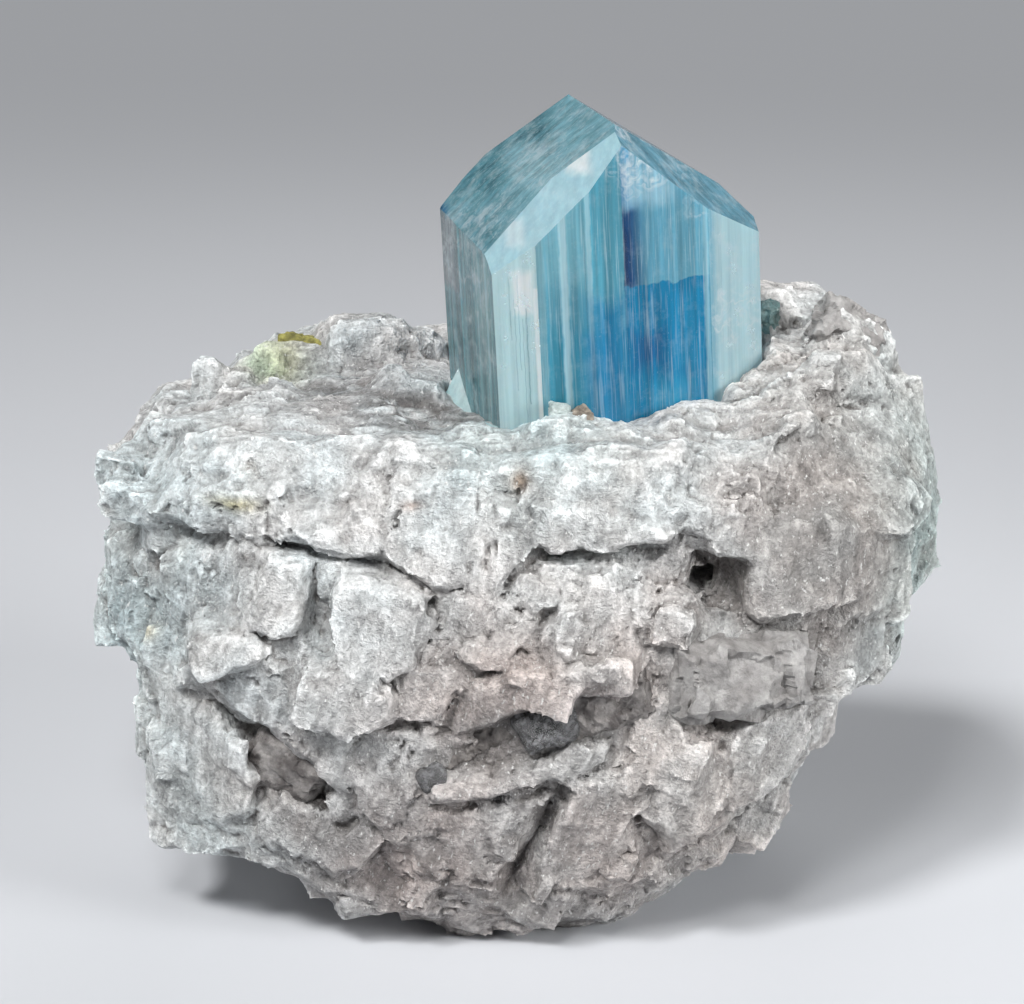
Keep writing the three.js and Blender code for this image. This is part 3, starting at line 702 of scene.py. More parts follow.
@dataclass
class Carving:
    """A dense mesh that is carved as stone breaks, held as arrays in millimetres."""

    mesh: bpy.types.Mesh
    lay: tuple[Row, ...] = ()
    fewest: int = 12
    points: np.ndarray = field(init=False)
    normals: np.ndarray = field(init=False)
    rough: np.ndarray = field(init=False)  # how much of the later breaks each point takes

    def __post_init__(self) -> None:
        """Reads the mesh."""
        self.read()
        self.rough = np.ones(len(self.points))

    def read(self) -> None:
        """Takes the points and their normals from the mesh."""
        count = len(self.mesh.vertices)
        self.points = np.zeros(count * 3)
        self.mesh.vertices.foreach_get("co", self.points)
        self.points = self.points.reshape(-1, 3) / MM - np.array(SHIFT)
        self.normals = np.zeros(count * 3)
        self.mesh.vertex_normals.foreach_get("vector", self.normals)
        self.normals = self.normals.reshape(-1, 3)

    def write(self) -> None:
        """Puts the points back in the mesh and refreshes the normals."""
        self.mesh.vertices.foreach_set("co", ((self.points + np.array(SHIFT)) * MM).ravel())
        self.mesh.update()
        self.read()

    def edges(self) -> np.ndarray:
        """The mesh's edges, as pairs of vertex numbers.

        Returns:
            Two numbers a row, one row for each edge.
        """
        pairs = np.zeros(len(self.mesh.edges) * 2, np.int32)
        self.mesh.edges.foreach_get("vertices", pairs)
        return pairs.reshape(-1, 2)

    def smoothed(self, values: np.ndarray, rounds: int) -> np.ndarray:
        """Averages values with their neighbours' along the edges.

        Args:
            values: some numbers to a row.
            rounds: how many times they are averaged.

        Returns:
            The averaged values.
        """
        pairs = self.edges()
        count = len(values)
        degree = np.bincount(pairs.ravel(), minlength=count)[:, None] + 1.0
        for _ in range(rounds):
            total = values.copy()
            for axis in range(values.shape[1]):
                total[:, axis] += np.bincount(pairs[:, 0], values[pairs[:, 1], axis], count)
                total[:, axis] += np.bincount(pairs[:, 1], values[pairs[:, 0], axis], count)
            values = total / degree
        return values

    def facing(self) -> np.ndarray:
        """The way each place faces, as the number of the nearest of the facings."""
        soft = self.smoothed(self.normals.copy(), 4)
        return (soft @ FACINGS.T).argmax(axis=1)

    def flows(self) -> np.ndarray:
        """How strongly the lamellae run each way at each place, four shares to a row.

        Returns:
            The shares of the standing flows, then that of lamellae lying left to right.
        """
        gap = np.abs(self.lean(self.points)[:, None] - np.array(STANDING_FLOWS)[None, :])
        shares = np.clip(1.0 - gap / 22.0, 0.02, 1.0) ** 2
        shares /= shares.sum(axis=1, keepdims=True)
        flat = eased((np.abs(self.smoothed(self.normals.copy(), 6)[:, 2]) - 0.5) / 0.2)[:, None]
        return np.column_stack([shares * (1 - flat), flat])

    def drawn_along(self, turn: float) -> np.ndarray:
        """The places turned so that z runs along the lamellae.

        Args:
            turn: how far the lamellae lean to the right, in degrees.

        Returns:
            The turned places.
        """
        sine, cosine = math.sin(math.radians(turn)), math.cos(math.radians(turn))
        x, y, z = self.points.T
        return np.stack([x * cosine - z * sine, y, x * sine + z * cosine], axis=1)

    def lean(self, places: np.ndarray) -> np.ndarray:
        """How far the standing lamellae lean to the right.

        Args:
            places: where, three numbers to a row.

        Returns:
            The lean in degrees, one number a row.
        """
        if not self.lay:
            return np.zeros(len(places))
        rows = np.array(self.lay)
        gaps = (places[:, None, 0] - rows[None, :, 0]) ** 2 + (places[:, None, 2] - rows[None, :, 1]) ** 2
        weights = np.exp(-gaps / 60.0) + 1e-6
        return (weights * rows[None, :, 2]).sum(axis=1) / weights.sum(axis=1)

    def warp(self, size: float, amount: float, seed: int) -> None:
        """Pushes the surface about smoothly.

        Args:
            size: how wide the bulges and dents are.
            amount: how far they move the surface at most.
            seed: another seed gives other bulges.
        """
        push = np.stack([smooth_noise(self.points / size, seed + axis) for axis in range(3)], axis=1)
        self.points += amount * push
        self.write()

    def cleave(self, size: Row, reach: float, lift: float, tilt: float, seed: int) -> None:
        """Breaks the surface into flat cleavage faces with steps between them.

        Args:
            size: a face's size across, through and along the lamellae.
            reach: how far the surface may move onto its face.
            lift: how far neighbouring faces stand above each other at most.
            tilt: how far the faces lean out of the surface, as a slope.
            seed: another seed gives other faces.
        """
        cells = scattered_cells(self.drawn_along(CLEAVAGE_LEAN) / np.array(size), seed)
        cells[:, 0] += 10007 * self.facing()
        numbers, kept = numbered(cells)
        large = np.bincount(numbers) >= self.fewest
        middles = averages(self.points, numbers)
        slopes = np.stack([hashed(kept, seed + 50 + axis) * 2 - 1 for axis in range(3)], axis=1)
        facing = unit(unit(averages(self.normals, numbers)) + tilt * slopes)
        raised = lift * (hashed(kept, seed + 60) * 2 - 1)
        above = ((self.points - middles[numbers]) * facing[numbers]).sum(axis=1) - raised[numbers]
        moved = np.clip(above, -reach, reach) * large[numbers] * self.rough
        self.points -= facing[numbers] * moved[:, None]
        self.write()

    def melt(self, rounds: int) -> None:
        """Wears away everything smaller than a broad bulge, and keeps the foot where it is.

        Args:
            rounds: how many rounds of smoothing wear it.
        """
        soft = self.smoothed(self.points.copy(), rounds)
        self.points += (soft - self.points) * eased(self.points[:, 2:] / 2.0 - 0.3)
        self.write()

    def shape(self, slabs: tuple[Slab, ...], cracks: tuple[Crack, ...], outward: Row, axes: tuple[int, int],
              seed: int) -> None:
        """Raises slabs and opens cracks in the faces that look one way.

        Args:
            slabs: the slabs, each over those before it.
            cracks: the cracks.
            outward: the way the faces look.
            axes: the two axes that the outlines and paths are drawn in.
            seed: another seed gives the outlines another waver.
        """
        places = self.points[:, axes]
        waver = [0.35 * smooth_noise(self.points / 2.4, seed + axis)
                 + 0.15 * smooth_noise(self.points / 0.9, seed + 5 + axis) for axis in range(2)]
        places = places + np.stack(waver, axis=1)
        facing = eased((self.smoothed(self.normals.copy(), 6) @ np.array(outward) - 0.12) / 0.4)
        level = self.points @ np.array(outward)
        height = np.zeros(len(places))
        for slab in slabs:
            depth = depth_inside(places, slab.outline)
            share = eased(0.5 + depth / slab.edge)
            middle = np.mean(slab.outline, axis=0)
            face = 0.85 * slab.out + (places - middle) @ np.array(slab.lean)
            under = (depth > 0) & (facing > 0.5)
            if slab.flat and under.sum() > 20:
                run = np.column_stack([places - middle, np.ones(len(places))])
                base = run @ np.linalg.lstsq(run[under], level[under], rcond=None)[0]
                face = face + slab.flat * np.clip(base - level, -0.9, 0.9)
            height += share * (face - height)
        for crack in cracks:
            height -= crack.depth * (1 - eased(path_gap(places, crack.path) / crack.width))
        self.points += np.array(outward) * (height * facing)[:, None]
        self.write()

    def terrace(self, size: Row, step: float, steps: float, crisp: float, seed: int,
                level: float = 0.6) -> None:
        """Breaks the surface into levels with steep risers, as cleavage breaks.

        Args:
            size: how wide the levels are across, through and along the lamellae.
            step: how high a riser is.
            steps: how many risers lie between the middle and the highest level.
            crisp: how much steeper than the noise a riser is.
            seed: another seed gives other levels.
            level: how far each tread leans back, from 0 for none to 1 for a whole riser.
        """
        shares = self.flows()
        for way, turn in enumerate(FLOWS):
            share = shares[:, way]
            climb = steps * fractal(self.drawn_along(turn) / np.array(size), seed + way)
            base = np.floor(climb)
            rise = eased((climb - base - 0.5) * crisp + 0.5)
            self.points += self.normals * (share * step * (base + rise - level * climb))[:, None]
        self.write()

    def chip(self, rounds: int, amount: float, size: float, seed: int) -> None:
        """Knocks chips off the edges that stand out.

        Args:
            rounds: how broad an edge is, in rounds of smoothing.
            amount: how deep the deepest chips are.
            size: how long the chips are.
            seed: another seed gives other chips.
        """
        proud = ((self.points - self.smoothed(self.points.copy(), rounds)) * self.normals).sum(axis=1)
        share = eased(proud / 0.35) * np.clip(0.3 + fractal(self.points / size, seed), 0.0, 1.0)
        self.points -= self.normals * (amount * share * self.rough)[:, None]
        self.write()

    def calm(self, slabs: tuple[Slab, ...], least: float) -> None:
        """Keeps the slabs' flat fronts smoother than the rock between them in what is broken next.

        Args:
            slabs: the slabs.
            least: the share of the breaks that their middles still take.
        """
        front = eased((-self.normals[:, 1] - 0.3) / 0.4)
        for slab in slabs:
            if slab.out > 0.8:
                share = eased(depth_inside(self.points[:, (0, 2)], slab.outline) / 0.9) * front
                self.rough = np.minimum(self.rough, 1 - (1 - least) * share)

    def sink(self, middle: Row, reach: Row, depth: float) -> None:
        """Lowers a patch of the top.

        Args:
            middle: the patch's middle.
            reach: its size.
            depth: how far its middle goes down.
        """
        near = np.exp(-(((self.points - np.array(middle)) / np.array(reach)) ** 2).sum(axis=1))
        self.points[:, 2] -= depth * near
        self.write()

    def pit(self, middle: Row, radius: float, depth: float, seed: int) -> None:
        """Sinks small upright holes into the front.

        Args:
            middle: the middle of the pitted patch.
            radius: the patch's size.
            depth: how deep the holes are.
            seed: another seed gives other holes.
        """
        near = np.exp(-(((self.points - np.array(middle)) / radius) ** 2).sum(axis=1))
        holes = np.clip(smooth_noise(self.points / np.array((0.8, 0.9, 1.9)), seed) * 2.2 - 0.9, 0.0, 1.0)
        self.points -= self.normals * (depth * near * eased(holes))[:, None]
        self.write()

    def ridge(self, size: Row, amount: float, seed: int) -> None:
        """Raises fine ridges that follow the lamellae.

        Args:
            size: a ridge's size across, through and along the lamellae.
            amount: how high the ridges stand.
            seed: another seed gives other ridges.
        """
        shares = self.flows()
        height = sum(shares[:, way] * smooth_noise(self.drawn_along(turn) / np.array(size), seed + way)
                     for way, turn in enumerate(FLOWS))
        self.points += self.normals * (amount * height)[:, None]
        self.write()

    def settle(self, rounds: int, share: float) -> None:
        """Wears the surface.

        Args:
            rounds: how many rounds of smoothing wear it.
            share: how much of the way each point moves to its neighbours' middle.
        """
        self.points += share * (self.smoothed(self.points.copy(), rounds) - self.points)
        self.write()

    def hollowness(self, rounds: int, reach: float) -> np.ndarray:
        """How open each place is.

        Args:
            rounds: how broad the cracks and edges are, in rounds of smoothing.
            reach: how deep a full crack is.

        Returns:
            0 deep in a crack, 0.5 on a flat, 1 on a sharp edge.
        """
        sunk = ((self.points - self.smoothed(self.points.copy(), rounds)) * self.normals).sum(axis=1)
        return np.clip(0.5 + sunk / (2 * reach), 0.0, 1.0)


MERGE_MM = 0.0005  # corners closer than this are one


def finished(bm: bmesh.types.BMesh, name: str) -> bpy.types.Mesh:
    """Makes a mesh of a bmesh and frees it.

    Args:
        bm: the bmesh.
        name: the mesh's name.

    Returns:
        The new mesh.
    """
    mesh = bpy.data.meshes.new(name)
    bm.to_mesh(mesh)
    bm.free()
    return mesh


def joined_copy(name: str, sources: list[bpy.types.Mesh]) -> bpy.types.Mesh:
    """One mesh with the faces of several, their loose triangles merged.

    Args:
        name: the new mesh's name.
        sources: the meshes to copy.

    Returns:
        The new mesh.
    """
    bm = bmesh.new()
    for source in sources:
        bm.from_mesh(source)
    bmesh.ops.remove_doubles(bm, verts=bm.verts[:], dist=MERGE_MM * MM)
    return finished(bm, name)


def in_scene(name: str, mesh: bpy.types.Mesh) -> bpy.types.Object:
    """A new object of a mesh, at the origin, linked to the scene.

    Args:
        name: the object's name.
        mesh: its mesh.

    Returns:
        The object.
    """
    piece = bpy.data.objects.new(name, mesh)
    bpy.context.scene.collection.objects.link(piece)
    return piece


def applied(piece: bpy.types.Object) -> None:
    """Applies all of a piece's modifiers to its mesh.

    Args:
        piece: the piece.
    """
    graph = bpy.context.evaluated_depsgraph_get()
    baked = bpy.data.meshes.new_from_object(piece.evaluated_get(graph), depsgraph=graph)
    piece.modifiers.clear()
    old = piece.data
    piece.data = baked
    bpy.data.meshes.remove(old)


def remeshed(piece: bpy.types.Object, voxel_mm: float) -> None:
    """Rebuilds a piece's surface from small cubes, which joins what overlaps.

    Args:
        piece: the piece.
        voxel_mm: a cube's side.
    """
    voxels = piece.modifiers.new("voxels", "REMESH")
    voxels.mode = "VOXEL"
    voxels.voxel_size = voxel_mm * MM
    voxels.use_smooth_shade = True
    applied(piece)


def triangle_count(mesh: bpy.types.Mesh) -> int:
    """How many triangles a mesh's faces come to."""
    return sum(len(face.vertices) - 2 for face in mesh.polygons)


def thinned(piece: bpy.types.Object, triangles: int) -> None:
    """Brings a piece down to a number of triangles, and keeps its edges.

    Args:
        piece: the piece.
        triangles: how many it may keep.
    """
    count = triangle_count(piece.data)
    if count > triangles:
        fewer = piece.modifiers.new("fewer", "DECIMATE")
        fewer.ratio = triangles / count
        applied(piece)


def shade(mesh: bpy.types.Mesh, angle: float) -> None:
    """Shades a mesh smooth, with sharp edges where its faces meet at more than an angle."""
    mesh.shade_smooth()
    mesh.set_sharp_from_angle(angle=math.radians(angle))


# ------------------------------------------------------------------------------ the rock


@dataclass
class Lump:
    """A knob of rock: its middle, its half sizes and its turn about y, in degrees."""

    at: Row
    size: Row
    turn: float = 0.0

    def mesh(self) -> bpy.types.Mesh:
        """A rounded block of the lump's size.

        Returns:
            The block's mesh.
        """
        bm = bmesh.new()
        bmesh.ops.create_cube(bm, size=2.0)
        bmesh.ops.scale(bm, vec=self.size, verts=bm.verts[:])
        bmesh.ops.bevel(bm, geom=bm.edges[:], offset=min(self.size) * 0.6, offset_type="OFFSET", segments=2,
                        profile=0.5, affect="EDGES", material=-1)
        turn = Matrix.Rotation(math.radians(self.turn), 4, "Y")
        bmesh.ops.transform(bm, matrix=turn, verts=bm.verts[:])
        bmesh.ops.scale(bm, vec=(MM, MM, MM), verts=bm.verts[:])
        bmesh.ops.translate(bm, vec=place(*self.at), verts=bm.verts[:])
        return finished(bm, "lump")


# The small knobs and teeth along the top and round the crystal's foot.
KNOBS = (
    Lump((-30.9, 7.8, 51.9), (1.5, 1.4, 1.8), -8), Lump((-30.6, 7.6, 50.2), (0.95, 0.9, 1.5), -8),
    Lump((-27.7, 7.6, 51.2), (1.5, 1.2, 1.4), 10), Lump((-25.2, 11.4, 52), (1.7, 1.4, 2.2), 14),
    Lump((-26.6, 5.6, 50.6), (0.9, 0.8, 1), 20),
    Lump((-24.6, 7.6, 50.8), (0.9, 0.9, 1.1)), Lump((-23, 4.6, 50.4), (0.7, 0.7, 1), 15),
    Lump((-25.4, 2.6, 50), (0.8, 0.8, 0.9)), Lump((-21.6, 8.8, 51.2), (1, 0.9, 1.1), -10),
    Lump((-27.4, -0.6, 49.6), (0.8, 0.8, 0.8), 25), Lump((-19.6, 10.4, 52), (1.2, 1, 1.2), 8),
    Lump((-14.8, 11.6, 54), (4.2, 2.8, 2.6), -2), Lump((-9.2, 12.6, 53.4), (2.2, 2, 2), 6),
    Lump((-11.8, 8.2, 52), (1, 0.8, 0.9), 10), Lump((-14.6, 7.6, 51.6), (0.8, 0.8, 0.8)),
    Lump((0.2, -11.4, 48.9), (1.2, 1, 1.2), 10), Lump((9.9, -11, 49.6), (1.3, 1.1, 1.3), 5),
    Lump((12.8, -10.1, 50.1), (1.7, 1.2, 1.4), -8), Lump((15.8, -8.8, 50.3), (1.7, 1.2, 1.5), 6),
    Lump((18.9, -7, 50.8), (1.7, 1.3, 1.8), 15), Lump((21.8, -4.8, 51.5), (1.8, 1.4, 2.1), 22),
    Lump((24.6, -2.4, 52), (1.7, 1.4, 2.3), 30), Lump((26.4, 1, 52.6), (1.5, 1.7, 2), 24),
    Lump((-3.6, -7.6, 49.5), (1.3, 1.5, 1.3), -10), Lump((-5.8, -3.4, 49.8), (1.2, 1.7, 1.1)),
    Lump((-4.6, 9.4, 51.2), (1.6, 2.2, 1.4)), Lump((2, 13.4, 51.2), (3, 1.6, 1.6)),
    Lump((9, 15.2, 51.6), (3.6, 1.6, 1.8)), Lump((17.4, 13.6, 52), (3.4, 2, 2)),
    Lump((23.8, 8.8, 52.4), (1.8, 2.6, 2)),
)
RIM = 49.0  # no block on the sides stands above this height


@dataclass(frozen=True)
class Rubble:
    """Small cleavage blocks, still grown together, that stand proud on a patch of the rock."""

    middle: Row
    reach: Row
    count: int
    size: Row  # half sizes, smallest and largest
    seed: int
    proud: Row = (0.05, 0.35)  # how far they stand out, least and most

    def mesh(self, carving: Carving) -> bpy.types.Mesh:
        """Sets the blocks on the rock, in line with its lamellae.

        Args:
            carving: the rock's surface.

        Returns:
            The blocks' mesh.
        """
        rng = np.random.default_rng(self.seed)
        gaps = (carving.points - np.array(self.middle)) / np.array(self.reach)
        near = np.flatnonzero((gaps ** 2).sum(axis=1) < 1.0)
        bm = bmesh.new()
        for pick in rng.choice(near, self.count) if len(near) else ():
            point, normal = carving.points[pick], carving.normals[pick]
            lean = float(carving.lean(point[None, :])[0]) if abs(normal[2]) < 0.75 else 90.0
            half = rng.uniform(*self.size) * np.array((rng.uniform(0.6, 1.2), rng.uniform(0.5, 1.0),
                                                       rng.uniform(0.8, 1.7)))
            turn = (Matrix.Rotation(math.radians(lean + rng.uniform(-10, 10)), 4, "Y")
                    @ Matrix.Rotation(math.radians(rng.uniform(-9, 9)), 4, "X")
                    @ Matrix.Rotation(math.radians(rng.uniform(-14, 14)), 4, "Z"))
            thick = float(np.abs(np.array(turn.to_3x3()).T @ normal) @ half)
            tall = float(np.abs(np.array(turn.to_3x3())[2]) @ half)
            if abs(normal[2]) < 0.75 and point[2] + tall > RIM:
                continue
            middle = Vector(point + normal * (rng.uniform(*self.proud) - 0.8 * thick) + np.array(SHIFT)) * MM
            bmesh.ops.create_cube(bm, size=2.0, matrix=Matrix.Translation(middle) @ turn
                                  @ Matrix.Diagonal((*(half * MM), 1.0)))
        return finished(bm, "rubble")


# From the top and the front to the flanks, the belly and the back.
RUBBLE = (
    Rubble((-25, 4, 50), (10, 11, 5), 50, (0.4, 0.8), 601, (0.1, 0.7)),
    Rubble((-25, 1, 49.5), (4.5, 4, 3), 34, (0.4, 1), 600, (0.5, 1.3)),
    Rubble((-14, 12, 53), (9, 8, 5), 40, (0.5, 1.2), 602, (0.1, 0.5)),
    Rubble((28, 0, 51), (9, 10, 8), 90, (0.5, 1.5), 603, (0.2, 1)),
    Rubble((18, -14, 46), (9, 8, 5), 40, (0.5, 1.2), 604, (0.1, 0.7)),
    Rubble((6, -20, 34), (12, 6, 6), 70, (0.6, 1.6), 605, (0.1, 0.9)),
    Rubble((-28, -14, 44), (14, 10, 6), 34, (0.8, 2), 606),
    Rubble((-2, -19, 45), (24, 6, 4), 60, (0.5, 1.6), 607),
    Rubble((-20, -16, 22), (20, 10, 12), 40, (0.7, 1.8), 608),
    Rubble((16, -18, 24), (20, 10, 12), 70, (0.8, 2.2), 609),
    Rubble((2, -16, 10), (28, 14, 10), 90, (0.8, 2.4), 610, (0.1, 0.5)),
    Rubble((38, 2, 36), (8, 18, 20), 60, (0.8, 1.9), 611, (0.05, 0.35)),
    Rubble((-38, 0, 34), (8, 18, 20), 80, (0.8, 2.2), 612, (0.1, 0.5)),
    Rubble((0, 22, 32), (42, 12, 26), 260, (1, 2.8), 613, (0.1, 0.6)),
    Rubble((4, 0, 52), (34, 16, 6), 90, (0.5, 1.6), 614, (0.02, 0.2)),
)

# The larger knobs that the top and the flanks have from the start.
LUMPS = (
    Lump((-27.8, 6.6, 49.8), (1.6, 1.4, 1.3), 10),
    Lump((-25.2, 8.6, 50.2), (1.4, 1.4, 1)),
    Lump((-26, 2.4, 49.6), (2, 1.6, 1.1), 12),
    Lump((-23.4, 3.6, 50), (1, 1, 1.2)),
    Lump((-15.2, 14.6, 53.2), (4.2, 4, 2.8), -3),
    Lump((-22.6, 15.2, 51.8), (3.6, 3.6, 2.4), 6),
    Lump((-8.6, 15, 51), (2.6, 3, 2.2), 4),
    Lump((-11, 8.8, 51.6), (2.6, 2.4, 1), 4),
    Lump((-37.2, -7, 45.6), (2, 2.4, 2.2), 20),
    Lump((-37.6, -5, 36.6), (2, 3, 2.6), -10),
    Lump((23, -2.6, 51.6), (1.8, 1.8, 1.3), 30),
    Lump((26.4, 0.2, 53.6), (1.7, 1.6, 1.4), 20),
    Lump((29.2, 3.4, 54), (2.4, 2.6, 1.4), 10),
    Lump((24.6, -5.2, 50.4), (1.3, 1.4, 1), 40),
    Lump((35.6, 6.4, 55.6), (2.4, 3.4, 2.6), 14),
    Lump((28.6, 13.2, 57.6), (4.6, 4.2, 2), 8),
)

